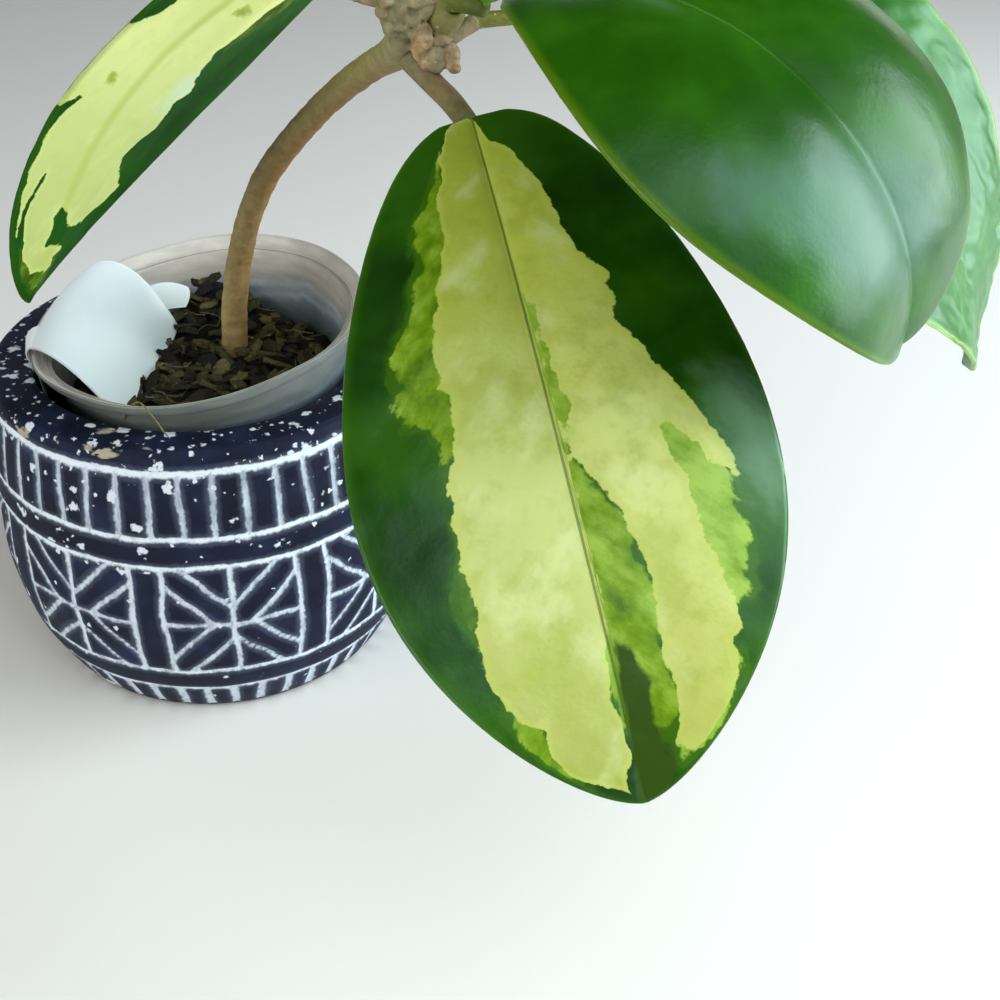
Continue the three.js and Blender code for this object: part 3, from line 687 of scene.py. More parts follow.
pottingMix = makeSoil(pottingMaterial())
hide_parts("potting_soil")
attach(pottingMix, "root")
barkLook = barkMaterial()
chipShapes = [chipShape(*size) for size in soil["chipSizes"]]
barkChips = scatterOver("barkChips", pottingMix, chipShapes, barkLook, soil["chips"], soil["seed"],
                        (0.05, 0.85))
strandShapes = [strandShape(*size) for size in soil["strandSizes"]]
coirStrands = scatterOver("coirStrands", pottingMix, strandShapes, barkLook, soil["strands"],
                          soil["seed"] + 20, (0.45, 1.0))
rootPoints, rootFaces, _ = tube(soil["root"], 8, 60)
looseRoot = makePiece("looseRoot", rootPoints, rootFaces, barkLook)
setValues(looseRoot, "chipTone", np.full(len(rootPoints), 0.95))
for piece in (barkChips, coirStrands, looseRoot):
    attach(piece, "root")
print("potting mix ready")


# Plant label: a blank tag of glossy white plastic film, bent over the left rims.
label = {
    "thickness": 0.5, "edgeShare": 0.35, "colors": [(0.3, "#f0fbff"), (0.7, "#faffff")],
    "flap": [[(-41.6, -4.5, 89.8), (-33.5, -15, 94.0), (-21.5, -19, 74.5)],
             [(-37.2, 12, 96.4), (-24, 6, 99.0), (-13, 3, 71.5)],
             [(-25.0, 28, 97.0), (-15, 34, 97.0), (-5.5, 27, 76.5)]],
    "tongue": [[(-12.6, 30.2, 87.8), (-10.6, 29.4, 84.8), (-8.2, 28.4, 81.4)],
               [(-7.0, 31.8, 89.4), (-6.4, 29.4, 86.2), (-5.4, 28.0, 81.8)],
               [(-1.6, 30.3, 86.6), (-0.6, 28.8, 85.0), (-2.9, 27.6, 81.9)]],
    "legFront": [(-40.8, -4.6, 90.0), (-42.3, -4.8, 89.7), (-42.9, -4.9, 88.4), (-42.4, -5.3, 86.9),
                 (-41.3, -5.9, 85.0), (-40.7, -6.5, 83.0), (-39.9, -7.8, 78.0), (-39.2, -8.8, 72.0)],
    "legBack": [(-39.0, 2.6, 92.6), (-41.3, 2.7, 91.8), (-42.9, 2.6, 89.8), (-42.7, 2.4, 87.3),
                (-41.7, 2.1, 85.0), (-41.3, 1.8, 83.0), (-40.8, 0.8, 78.0), (-40.2, 0.0, 72.0)],
}


def sheetPiece(name, middle, material):
    # A thin closed sheet with softened edges about a grid of middle points.
    rows, columns = middle.shape[:2]
    normal = unit(np.cross(np.gradient(middle, axis=0), np.gradient(middle, axis=1)))
    share = np.full((rows, columns), label["edgeShare"])
    share[1:-1, 1:-1] = 1
    half = (label["thickness"] / 2 * share)[..., None]
    points = np.concatenate([middle + normal * half, middle - normal * half]).reshape(-1, 3)
    return makePiece(name, points, sheetFaces(rows, columns), material)


def labelFilmMaterial():
    # Calendered vinyl film: an even white with a cool cast and a soft gloss.
    material, add, shader, inMm = startMaterial("glossy white vinyl film", Roughness=0.28, IOR=1.5,
                                                Subsurface_Weight=0.15, Subsurface_Scale=0.002)
    cloud = add("TexNoise", {"Vector": inMm, "Scale": 0.08, "Detail": 3.0})
    setInputs(shader, {"Base Color": add("ValToRGB", [cloud], stops=label["colors"])})
    return material


def bezierSheet(net, rows, columns):
    # Points of a smooth sheet that leans towards the middle points of a net of three by three.
    u, v = np.linspace(0, 1, rows)[:, None], np.linspace(0, 1, columns)[:, None]
    weightsU, weightsV = [np.hstack([(1 - t) ** 2, 2 * t * (1 - t), t ** 2]) for t in (u, v)]
    return np.einsum("ia,jb,abk->ijk", weightsU, weightsV, np.array(net, float))


filmLook = labelFilmMaterial()
labelFlap = sheetPiece("labelFlap", bezierSheet(label["flap"], 50, 60), filmLook)
legFront, legBack = [smoothLine(label[side], 40)[None] for side in ("legFront", "legBack")]
acrossLeg = np.linspace(0, 1, 12)[:, None, None]
labelLeg = sheetPiece("labelLeg", legFront * (1 - acrossLeg) + legBack * acrossLeg, filmLook)
labelTongue = sheetPiece("labelTongue", bezierSheet(label["tongue"], 20, 16), filmLook)
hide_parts("plant_label")
for piece in (labelFlap, labelLeg, labelTongue):
    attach(piece, "root")
print("label ready")


# Stem: corky vine wood with a knuckle of old leaf joints at its end.
stem = {
    "route": [(7.6, 14.6, 52, 2.6), (8.4, 14.2, 62, 3.3), (8.9, 13.9, 74, 3.6), (10.2, 12.7, 90.3, 3.4),
              (13.5, 8.6, 108.5, 3.2), (19.6, -0.1, 128.3, 3.1), (29.9, -17.9, 149.1, 3.0),
              (39.0, -36.5, 164.7, 3.1), (44.2, -50.0, 173.0, 3.4), (46.6, -57.6, 178.6, 4.9),
              (45.4, -59.8, 184.2, 5.2), (43.6, -60.2, 190.0, 4.6), (42.6, -61.2, 195.0, 3.0),
              (42.2, -61.6, 199, 2.2)],
    # old joints and scars: place, half sizes and how tan the bark there is
    "knuckles": [((47.6, -64.0, 181.6), (2.2, 2.0, 1.9), 0.75), ((47.8, -64.7, 178.9), (2.3, 2.2, 3.1), 1.0),
                 ((48.5, -66.2, 176.4), (1.7, 1.8, 2.1), 0.8), ((50.1, -67.7, 176.9), (1.8, 1.9, 2.6), 0.25),
                 ((52.9, -67.8, 177.6), (1.75, 1.7, 2.6), 0.7), ((53.2, -69.0, 175.8), (1.5, 1.4, 1.0), 1.0),
                 ((51.4, -65.0, 178.8), (2.1, 2.0, 1.9), 0.45), ((42.6, -60.4, 181.4), (1.9, 1.9, 2.2), 0.0),
                 ((43.8, -63.0, 178.6), (1.8, 1.8, 1.9), 0.1), ((40.8, -62.4, 185.2), (1.9, 1.5, 1.6), 0.5),
                 ((48.2, -63.8, 185.4), (2.3, 1.6, 1.9), 0.3), ((46.0, -64.7, 183.8), (1.7, 1.1, 1.2), 0.25),
                 ((44.1, -64.4, 182.4), (1.9, 1.0, 0.9), 0.1), ((42.1, -63.2, 182.3), (1.3, 0.9, 1.5), 0.2),
                 ((44.2, -64.6, 186.3), (1.2, 1.0, 1.2), 0.35), ((41.4, -63.6, 187.2), (2.2, 1.4, 1.1), 0.45),
                 ((46.6, -64.3, 187.0), (2.8, 1.6, 0.9), 0.4), ((49.8, -63.0, 187.4), (2.2, 2.0, 1.6), 0.4),
                 ((45.8, -64.4, 181.6), (1.2, 1.0, 1.1), 0.5)],
    "driedStub": [(42.6, -58.6, 186.2, 2.2), (38.6, -57.4, 186.3, 1.5), (34.4, -56.8, 186.9, 0.7)],
    "leafJoint": [(49.6, -61.4, 179.4, 2.6), (52.6, -62.9, 180.0, 2.1), (55.8, -62.6, 181.2, 1.85),
                  (58.9, -62.0, 182.3, 1.8)],
    "voxel": 0.36, "knucklesFrom": 0.66,  # share of the route where the knuckles begin
    "colors": [(0.14, "#54431a"), (0.19, "#ad9560"), (0.3, "#9b8858"), (0.42, "#85734a"), (0.55, "#877a50"),
               (0.65, "#8a8360"), (0.72, "#827d5c"), (0.82, "#7f7d60"), (1.0, "#94896a")],
    # the rust colour: browner bark on the side facing right and down, partly painted shade
    "rustAndShade": "#865a2e", "scarColors": [(0.35, "#7d6544"), (0.55, "#ab8f6a"), (0.7, "#cdb493")],
    # the crease colour is painted shade, darkening the creases between the joints
    "pore": "#c9b48a", "paintedCreaseShade": "#2c2110",
}


def mergedMesh(parts, smoothing):
    # Joins overlapping closed shapes into one skin and relaxes it a little.
    points, faces = [], []
    for partPoints, partFaces in parts:
        faces += [[a + len(points) for a in face] for face in partFaces]
        points += partPoints.tolist()
    mesh = bpy.data.meshes.new("merging")
    mesh.from_pydata((np.array(points) * mm).tolist(), [], faces)
    holder = bpy.data.objects.new("merging", mesh)
    bpy.context.scene.collection.objects.link(holder)
    remesh = holder.modifiers.new("skin", "REMESH")
    remesh.mode, remesh.voxel_size = "VOXEL", stem["voxel"] * mm
    relax = holder.modifiers.new("relax", "SMOOTH")
    relax.factor, relax.iterations = 0.5, smoothing
    result = bpy.data.meshes.new_from_object(holder.evaluated_get(bpy.context.evaluated_depsgraph_get()))
    bpy.data.objects.remove(holder)
    found = np.zeros(len(result.vertices) * 3)
    result.vertices.foreach_get("co", found)
    return found.reshape(-1, 3) / mm, [list(polygon.vertices) for polygon in result.polygons]


def ellipsoid(centre, halfSizes, rows=14, sides=20):
    polar = np.linspace(0.02, np.pi - 0.02, rows)[:, None]
    turn = np.linspace(0, 2 * np.pi, sides, endpoint=False)[None]
    flat = np.sin(polar)
    ball = np.stack([flat * np.cos(turn), flat * np.sin(turn), np.cos(polar) + 0 * turn], -1)
    points = ball.reshape(-1, 3) * np.array(halfSizes) + np.array(centre)
    return points, [face[::-1] for face in gridFaces(rows, sides, wrap=True)] + endFaces(rows, sides)


def meshNormals(points, faces):
    normals = np.zeros_like(points)
    quads = np.array([face for face in faces if len(face) == 4])
    crossed = np.cross(points[quads[:, 2]] - points[quads[:, 0]], points[quads[:, 3]] - points[quads[:, 1]])
    for k in range(4):
        np.add.at(normals, quads[:, k], crossed)
    return unit(normals)


def outsideTube(points, route, count):
    # How far points stand outside each of many places along a tube.
    line = smoothLine(route, count)
    return np.sqrt(((points[:, None] - line[None, :, :3]) ** 2).sum(-1)) - line[None, :, 3]


def makeStem(material):
    parts = [tube(stem[key], sides, rows)[:2] for key, sides, rows in (
        ("route", 24, 160), ("driedStub", 16, 20), ("leafJoint", 20, 24))]
    parts += [ellipsoid(at, size) for at, size, _ in stem["knuckles"]]
    points, faces = mergedMesh(parts, 2)
    normals = meshNormals(points, faces)
    away = outsideTube(points, stem["route"], 200)
    share = np.linspace(0, 1, 200)[np.argmin(away, 1)]
    # how tan each point is: that of the nearest joint or scar where one stands out of the stem
    bumps = [((np.linalg.norm((points - np.array(at)) / np.array(size), axis=1) - 1) * min(size), tone)
             for at, size, tone in stem["knuckles"]]
    bumps += [(outsideTube(points, stem[branch], 40).min(1), tone)
              for branch, tone in (("driedStub", 0.5), ("leafJoint", 0.35))]
    tan = np.zeros(len(points))
    nearest = np.maximum(away.min(1), 0.0)
    for distance, tone in bumps:
        tan = np.where(distance < nearest, tone, tan)
        nearest = np.minimum(nearest, distance)
    knobby = np.clip((share - stem["knucklesFrom"]) / 0.08, 0, 1)
    rings = 0.05 * np.sin(share * 330 + 2 * np.sin(share * 40)) * (1 - knobby)
    rough = noiseAt(points, 7.0, 3.0) * 0.18 + noiseAt(points, 1.6, 4.0) * (0.06 + 0.13 * knobby)
    piece = makePiece("vineStem", points + normals * (rough + rings)[:, None], faces, material)
    setValues(piece, "share", share)
    setValues(piece, "tan", tan)
    # browner on the side facing right and down: partly the bark's own rust-brown, partly painted shade
    lowSide = np.clip(0.5 + 0.6 * normals[:, 0] - 0.5 * normals[:, 2], 0, 1)
    setValues(piece, "lowSide", lowSide * (1 - knobby))
    return piece


def vineBarkMaterial(name, stops, scale=1.0, roughness=0.72):
    # Corky vine bark: dry and olive, browner on the side facing right and down, partly rust-brown bark and
    # partly painted shade, tan on old scars, with pale pores and painted shade darkening its creases.
    material, add, shader, inMm = startMaterial(name, Roughness=roughness, IOR=1.45, Specular_IOR_Level=0.4)
    share, lowSide, tan = [add("Attribute", attribute_name=key, output="Fac")
                           for key in ("share", "lowSide", "tan")]
    patch = add("TexNoise", {"Vector": inMm, "Scale": 0.16 * scale, "Detail": 4.0})
    rustAndShade = add("Math", [lowSide, patch], operation="MULTIPLY")
    scar = add("ValToRGB", [add("TexNoise", {"Vector": inMm, "Scale": 0.5, "Detail": 4.0})],
               stops=stem["scarColors"])
    color = layered(add, add("ValToRGB", [share], stops=stops), [(rustAndShade, stem["rustAndShade"]), (tan, scar)])
    streak = add("TexNoise", {"Vector": inMm, "Scale": 0.42 * scale, "Detail": 6.0, "Roughness": 0.65})
    shaded = shadedBy(add, color, streak, 0.74, 1.22)
    # pores in a tenth of the cells, and painted shade darkening the creases between the joints
    cells = add("TexVoronoi", {"Vector": inMm, "Scale": 0.75}, output=None).outputs
    pore = add("MapRange", [cells["Distance"], 0.2, 0.08])
    chosen = add("Math", [add("SeparateColor", {0: cells["Color"]}), 0.1], operation="LESS_THAN")
    pores = add("Math", [pore, chosen], operation="MULTIPLY")
    pointed = add("NewGeometry", output="Pointiness")
    # painted shade: darker where the surface is hollow
    paintedCreaseShade = add("MapRange", [pointed, 0.5, 0.42])
    finished = layered(add, shaded, [(pores, stem["pore"]), (paintedCreaseShade, stem["paintedCreaseShade"])])
    fine = add("TexNoise", {"Vector": inMm, "Scale": 1.6, "Detail": 5.0})
    raised = add("Math", [pores, 0.5, fine], operation="MULTIPLY_ADD")
    finishSurface(add, shader, finished, raised, 0.5, 0.4)
    return material


vineStem = makeStem(vineBarkMaterial("corky vine bark", stem["colors"]))
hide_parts("main_stem")
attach(vineStem, "root")
print("stem ready")


# Leaves. foot, heading, rise and roll place a blade; droop, bend, twist, folds and curl shape it.
# Sectors of colour and patches of painted sheen are a tone, 0 dull to 1 bright, and an outline in percent: of
# the length, and of the half width to the left. Each outline reaches a little under the paler sector beside
# it.
leaves = {
    "front": {
        "node": "leaf_front", "slot": "leaf_variegated",
        "foot": (54.6, -78.3, 169.5), "heading": -88.7, "rise": -24.8, "roll": 17.5,
        "length": 132.3, "width": 73.3, "fullness": 1.21, "footRound": 0.38, "tipRound": 0.66,
        "droop": 15.7, "tipDroop": 10.8, "bend": 2.8, "twist": -8.9, "foldLeft": 6.8, "foldRight": 7.8,
        "curl": 10.5, "neckLeft": 0.01, "neckRight": 0.01, "marginLeft": 0.6, "marginRight": 2.8,
        "ribBow": 0.0, "keel": 1.1, "stalkRadius": 2.3,
        "stalk": [(46.4, -61.5, 175.8, 3.0), (49.2, -67.0, 172.6, 2.3), (52.0, -73.0, 170.4, 2.25)],
        "stalkColors": [(0.0, "#6f6b47"), (0.3, "#76694a"), (0.6, "#7d6c4a"), (0.8, "#67603a"),
                        (1.0, "#6a7440")],
        "cream": [
            (0.35, [(0, -1), (0, 60), (4, 50), (7, 51), (10, 43), (13, 48), (21, 41), (28, 48), (37, 51),
                    (43, 50), (46, 44), (50, 48), (58, 55), (61, 54), (68, 59), (73, 59), (75, 65),
                    (82, 73), (87, 74), (89, 64), (92, 77), (95, 84), (96.5, 73), (98.5, 35), (94, 4),
                    (92, 5), (87, 7), (82, 2), (78, -1.5)]),
            (0.8, [(0, 1), (3, -10), (5, -13), (8, -30), (17, -39), (26, -38), (32, -51), (35.5, -45),
                   (37, -49), (39, -44), (50, -60), (57, -71), (64, -78), (61, -65), (58, -59), (54, -52),
                   (55, -47), (60, -50), (65, -54), (74, -62), (79, -75), (82, -81), (83, -75), (87, -85),
                   (90, -90), (94.5, -86), (95, -80), (93.5, -49), (89, -43), (86, -39), (83, -31),
                   (75, -28), (69, -25), (63, -18), (59, -10), (55, -5), (49, -9.5), (42, -7), (34, -4.5),
                   (28, 1)]),
        ],
        "lime": [
            (0.45, [(6, 52), (11, 59), (14, 61), (17, 69), (20, 67), (24, 61), (27, 65), (30, 64), (34, 73),
                    (40, 77), (48, 71), (49, 61), (52, 56), (57, 56), (50, 35), (25, 33), (10, 40)]),
            (0.05, [(57, 45), (61, 56), (66, 60), (71, 70), (76, 70), (80, 66), (70, 50)]),
            (0.5, [(84, 70), (86, 83), (89, 88), (93, 94), (96.5, 90), (95, 70), (89, 60)]),
            (0.8, [(48, -36), (51, -60), (60, -74), (66, -80), (71, -83), (76, -84), (77.5, -87), (79, -82),
                   (80, -70), (68, -38), (57, -33)]),
            (0.75, [(80, -68), (83, -75), (85, -86), (87, -93), (91, -97), (95, -97), (97, -80),
                    (96.5, -60), (94, -42), (92, -60)]),
            (0.7, [(12, 10), (15, -8), (30, -14), (38, -16), (50, -22), (56, -16), (54.5, -2), (55, 10)]),
            (0.55, [(60, 6), (53, 4), (53, -5), (59, -14), (63, -22), (69, -29), (75, -33), (83, -36),
                    (89, -48), (93.5, -52), (93.5, -22), (93, -2), (90, 10), (85, 9)]),
        ],
        "dark": [
            (0.0, [(80, -3.5), (81, -14), (84, -18), (86, -22), (88, -21), (91, -26), (93.5, -34),
                   (96, -60), (100, -90), (100, 40), (98.5, 20), (95, 0), (90, 0), (86, -1)]),
        ],
        # painted sheen: a soft bluish highlight painted into the blade's colour
        "paintedSheen": [
            (1.0, [(49, -72), (48, -88), (53, -100), (60, -106), (67, -102), (70, -92), (67, -80),
                   (63, -74), (58, -69)]),
        ],
    },
    "upperRight": {
        "node": "leaf_upper_right", "slot": "leaf_green",
        "foot": (57.1, -67.2, 187.6), "heading": -68.2, "rise": 29.4, "roll": 16.6,
        "length": 130.3, "width": 74.4, "fullness": 1.42, "footRound": 0.81, "tipRound": 0.66,
        "droop": 82.8, "tipDroop": 53.0, "bend": -6.6, "twist": 0.0, "foldLeft": 21.5, "foldRight": 12.6,
        "curl": 52.3, "neckLeft": 0.24, "neckRight": 0.4, "marginLeft": 0.0, "marginRight": 0.0,
        "ribBow": 0.0, "keel": 0.3, "stalkRadius": 2.0,
        "stalk": [(50.6, -60.4, 179.6, 2.3), (52.2, -61.5, 182.0, 3.4), (53.0, -62.6, 184.6, 3.6),
                  (54.0, -64.4, 187.4, 2.6)],
        "stalkColors": [(0.0, "#8f8052"), (0.2, "#8a8550"), (0.55, "#817d46"), (0.75, "#5f6a24"),
                        (1.0, "#485307")],
        "cream": [], "lime": [], "dark": [],
        # painted sheen: a soft highlight painted into the blade's colour
        "paintedSheen": [
            (0.75, [(60, 80), (63, 62), (66, 45), (69, 10), (74, -22), (83, -36), (90, -18), (90, 25),
                    (86, 58), (81, 72), (75, 78), (68, 84)]),
        ],
    },
    "backRight": {
        "node": "leaf_back_right", "slot": "leaf_pale_green",
        "foot": (77.7, -52.0, 181.5), "heading": -75.0, "rise": 14.0, "roll": 25.0,
        "length": 130.3, "width": 69.4, "fullness": 1.05, "footRound": 0.51, "tipRound": 0.67,
        "droop": 89.6, "tipDroop": 28.4, "bend": -44.8, "twist": 2.7, "foldLeft": 8.1, "foldRight": 13.9,
        "curl": 9.2, "neckLeft": 0.22, "neckRight": 0.22, "marginLeft": 0.0, "marginRight": 0.0,
        "ribBow": 0.0, "keel": 1.1, "stalkRadius": 1.5,
        "stalk": [(56.6, -62.4, 181.5, 1.4), (59.6, -61.4, 182.3, 1.55), (68.0, -59.4, 182.2, 1.5),
                  (74.5, -55.4, 182.0, 1.5)],
        "stalkColors": [(0.0, "#c2b087"), (0.12, "#a89468"), (0.15, "#73701f"), (0.5, "#67701c"),
                        (1.0, "#5d7a28")],
        "cream": [], "lime": [], "dark": [], "paintedSheen": [],
    },
    "left": {
        "node": "leaf_left", "slot": "leaf_variegated",
        "foot": (48.8, -47.9, 204.7), "heading": 157.8, "rise": -32.0, "roll": 19.1,
        "length": 125.3, "width": 65.8, "fullness": 0.99, "footRound": 0.52, "tipRound": 0.73,
        "droop": 27.9, "tipDroop": 8.3, "bend": -9.4, "twist": -0.3, "foldLeft": 7.8, "foldRight": 8.0,
        "curl": 9.4, "neckLeft": 0.01, "neckRight": 0.01, "marginLeft": 0.0, "marginRight": 0.0,
        "ribBow": -0.38, "keel": 1.1, "stalkRadius": 2.3,
        "stalk": [(44.4, -59.5, 190.5, 2.8), (46.6, -56.2, 197.0, 2.3), (49.3, -51.6, 203.2, 2.3)],
        "stalkColors": [(0.0, "#7a6a45"), (0.3, "#97805a"), (0.5, "#7d7a3a"), (1.0, "#5c8030")],
        "cream": [
            (0.5, [(2, 0), (5, 35), (15, 52), (28, 50), (34.5, 34), (39, 31), (44, 16), (51, 30), (54, 46),
                   (56.7, 32), (60.4, 38), (63, 38), (65.8, 25), (69.2, 18), (71.7, 28), (74.6, 53),
                   (77.1, 66), (80, 62), (82, 42), (84, 35), (83.8, 0), (81.2, -15), (80, -28), (82.9, -32),
                   (85, -24), (87.9, -26), (87.5, -4), (89, 24), (90.5, 2), (92.5, 22), (93.5, -4),
                   (94, -46), (91, -72), (84, -80), (73.5, -72), (80, -85), (87, -90), (78, -93), (70, -95),
                   (64, -94.5), (60.5, -92), (56.5, -84), (58.5, -95), (60, -105), (42, -104), (40.5, -92),
                   (36, -80), (33, -82), (30, -98), (25, -97), (12, -80), (5, -50)]),
        ],
        "lime": [
            (0.0, [(20, 40), (30, 66), (35, 62), (40, 46), (44, 30), (38, 10)]),
            (0.1, [(89, -80), (90, 30), (95.5, 35), (97.5, -20), (96, -80)]),
        ],
        "dark": [
            (0.0, [(32, -13), (33, -6), (35, -8), (34.5, -15)]),
            (0.0, [(50, -76), (52, -66), (54, -60), (53.5, -72)]),
        ],
        # painted sheen: a soft whitish highlight painted into the blade's colour
        "paintedSheen": [
            (0.6, [(50, -5), (47, 25), (53, 60), (58, 62), (62, 45), (60, 30), (57, 0)]),
        ],
    },
}
blade = {"rows": 170, "columns": 104, "rowCrowding": 0.12, "thick": 1.4, "edgeThick": 0.75, "endWidth": 0.8,
         "keelEnd": 0.7, "veinAngle": 38.0}


def turnVector(a, b, angle):
    # a turned towards b by an angle
    return a * np.cos(angle)[..., None] + b * np.sin(angle)[..., None]


def bladeFrames(leaf, u):
    # Midrib points, directions along it, normals and sideways directions at the shares u of the length.
    heading, rise, roll = [math.radians(leaf[key]) for key in ("heading", "rise", "roll")]
    ahead = np.array([math.cos(rise) * math.cos(heading), math.cos(rise) * math.sin(heading), math.sin(rise)])
    side = np.array([math.sin(heading), -math.cos(heading), 0])
    upward = np.cross(side, ahead)
    upward = upward * math.cos(roll) + side * math.sin(roll)
    side = np.cross(ahead, upward)
    steps = 1200
    fine = np.linspace(0, 1, steps + 1)
    pitch = np.radians(leaf["droop"]) * fine + np.radians(leaf["tipDroop"]) * fine ** 3
    level = turnVector(ahead[None], side[None], np.radians(leaf["bend"]) * fine)
    along = turnVector(level, -upward[None], pitch)
    out = turnVector(upward[None] + 0 * level, level, pitch)
    moves = (along[1:] + along[:-1]) / 2 * leaf["length"] / steps
    line = np.vstack([np.zeros(3), np.cumsum(moves, 0)]) + np.array(leaf["foot"])
    point, along, out = [np.stack([np.interp(u, fine, values[:, k]) for k in range(3)], -1)
                         for values in (line, along, out)]
    along, out = unit(along), unit(out)
    normal = turnVector(out, np.cross(along, out), np.radians(leaf["twist"]) * u)
    return point, along, normal, np.cross(along, normal)


def halfWidth(leaf, u):
    power = leaf["footRound"] + (leaf["tipRound"] - leaf["footRound"]) * u
    swell = np.clip(np.sin(np.pi * u ** leaf["fullness"]), 0, 1)
    return np.maximum(leaf["width"] / 2 * swell ** power, blade["endWidth"] / 2)


def outlineDepth(x, y, outlines):
    # How deep points lie inside the nearest of several outlines, negative outside, and that outline's tone.
    best = np.full(x.shape, -30.0)
    bestTone = np.zeros(x.shape)
    for tone, corners in outlines:
        distance = np.full(x.shape, 1e9)
        inside = np.zeros(x.shape, bool)
        for (ax, ay), (bx, by) in zip(corners, np.roll(corners, -1, 0)):
            edgeX, edgeY = bx - ax, by - ay
            t = np.clip(((x - ax) * edgeX + (y - ay) * edgeY) / (edgeX ** 2 + edgeY ** 2 + 1e-9), 0, 1)
            distance = np.minimum(distance, np.hypot(x - ax - t * edgeX, y - ay - t * edgeY))
            inside ^= ((ay > y) != (by > y)) & (x < edgeX * (y - ay) / (edgeY + 1e-12) + ax)
        depth = np.where(inside, distance, -distance)
        bestTone = np.where(depth > best, tone, bestTone)
        best = np.maximum(best, depth)
    return best, bestTone


def veinRelief(leaf, relief, alongMm, acrossMm):
    # The upper face's relief: a groove along the midrib, faint side veins, broad swells and a finer crinkle.
    depth, spacing, swell, crinkle, groove = relief
    rib = -groove * np.exp(-(acrossMm / 0.75) ** 2) * np.clip(1.25 - alongMm / leaf["length"], 0, 1)
    curve = alongMm - 0.55 * np.abs(acrossMm) - 0.006 * acrossMm ** 2 + np.where(acrossMm < 0, spacing / 2, 0)
    vein = -np.exp(-(((curve / spacing) % 1 - 0.5) * spacing / 1.3) ** 2) * depth
    flat = np.stack([alongMm, acrossMm, 0 * acrossMm], -1).reshape(-1, 3)
    broad = noiseAt(flat, 15.0, leaf["length"], 2).reshape(acrossMm.shape)
    small = noiseAt(flat, 4.5, leaf["length"] + 5, 2).reshape(acrossMm.shape)
    return rib + vein + swell * broad + crinkle * small


def makeBlade(name, leaf, relief, material):
    rows, columns = blade["rows"] + 1, blade["columns"] + 1
    t, w = np.linspace(0, 1, rows)[:, None], np.linspace(1, -1, columns)[None]
    u = t - blade["rowCrowding"] * np.sin(2 * np.pi * t)  # closer together at both ends
    v = 0.6 * w + 0.4 * np.sin(np.pi / 2 * w)  # closer together at both margins
    point, _, normal, left = bladeFrames(leaf, u[:, 0])
    neck, fold, margin = [np.where(v < 0, leaf[key + "Right"], leaf[key + "Left"])
                          for key in ("neck", "fold", "margin")]
    half = np.maximum(halfWidth(leaf, u) * np.clip(u / neck, 0, 1) ** 1.2, blade["endWidth"] / 2)
    across = half * np.abs(v)
    lift = np.radians(fold) - np.radians(leaf["curl"]) * across / leaf["width"]
    surface = (point[:, None] + left[:, None] * (np.sign(v) * across * np.cos(lift))[..., None]
               + normal[:, None] * (across * np.sin(lift))[..., None])
    face = unit(np.cross(np.gradient(surface, axis=0), np.gradient(surface, axis=1)))
    face *= np.sign((face * normal[:, None]).sum(-1, keepdims=True))

    # the margin bends down and is rounded, and a ridge under the midrib runs into the stalk
    alongMm = np.repeat(u * leaf["length"], columns, 1)
    acrossMm = half * v
    thick = blade["thick"] + (blade["edgeThick"] - blade["thick"]) * np.abs(v) ** 1.5
    toEdge = half * (1 - np.abs(v))
    toEnd = np.minimum(alongMm, leaf["length"] - alongMm) + 0.25
    rim = np.clip(np.minimum(toEdge, toEnd) / (thick * 0.75), 0, 1)
    drop = thick / 2 * (1 - np.sqrt(1 - (1 - rim) ** 2))
    bent = margin * np.clip((np.abs(v) - 0.5) / 0.5, 0, 1) ** 2
    surface = surface - face * (bent * np.sin(np.pi * u))[..., None]
    fromRib = acrossMm - leaf["ribBow"] * half * np.sin(np.pi * u)
    bulge = veinRelief(leaf, relief, alongMm, fromRib)
    keel = leaf["stalkRadius"] * np.clip(1 - u / blade["keelEnd"], 0, 1) ** 1.3
    ridge = leaf["keel"] * keel * np.exp(-(acrossMm / (leaf["stalkRadius"] * (1.5 - 0.7 * u))) ** 2)
    upper = surface + face * (bulge - drop)[..., None]
    lower = surface + face * (0.6 * bulge - thick + drop - ridge)[..., None]
    ring = np.concatenate([upper, lower[:, ::-1]], 1)
    faces = gridFaces(rows, 2 * columns, wrap=True) + endFaces(rows, 2 * columns)
    piece = makePiece(name, ring.reshape(-1, 3), faces, material)

    def onBothFaces(values):
        full = np.broadcast_to(values, (rows, columns))
        return np.concatenate([full, full[:, ::-1]], 1)

    length, scaled = onBothFaces(alongMm), onBothFaces(v * leaf["width"] / 2)
    # the last set of outlines holds the patches of painted sheen, a highlight painted into the colour
    for sector in ("cream", "lime", "dark", "paintedSheen"):
        inMm = [(tone, np.array(outline) / 100 * (leaf["length"], leaf["width"] / 2))
                for tone, outline in leaf[sector]]
        depth, tone = outlineDepth(length, scaled, inMm)
        setValues(piece, sector + "Depth", depth)
        setValues(piece, sector + "Tone", tone)
    setValues(piece, "ribSide", onBothFaces(fromRib))
    setValues(piece, "toEdge", onBothFaces(toEdge))
    setValues(piece, "share", onBothFaces(u))
    # a space whose first axis runs along the side veins, with the two halves of the blade far apart
    angle = math.radians(blade["veinAngle"])
    outward = np.abs(onBothFaces(acrossMm))
    alongVein = length * math.cos(angle) + outward * math.sin(angle)
    acrossVein = length * math.sin(angle) - outward * math.cos(angle)
    apart = onBothFaces(np.where(acrossMm < 0, 40.0, 0.0))
    setValues(piece, "veinSpace", np.stack([alongVein, acrossVein, apart], -1), "FLOAT_VECTOR")
    return piece


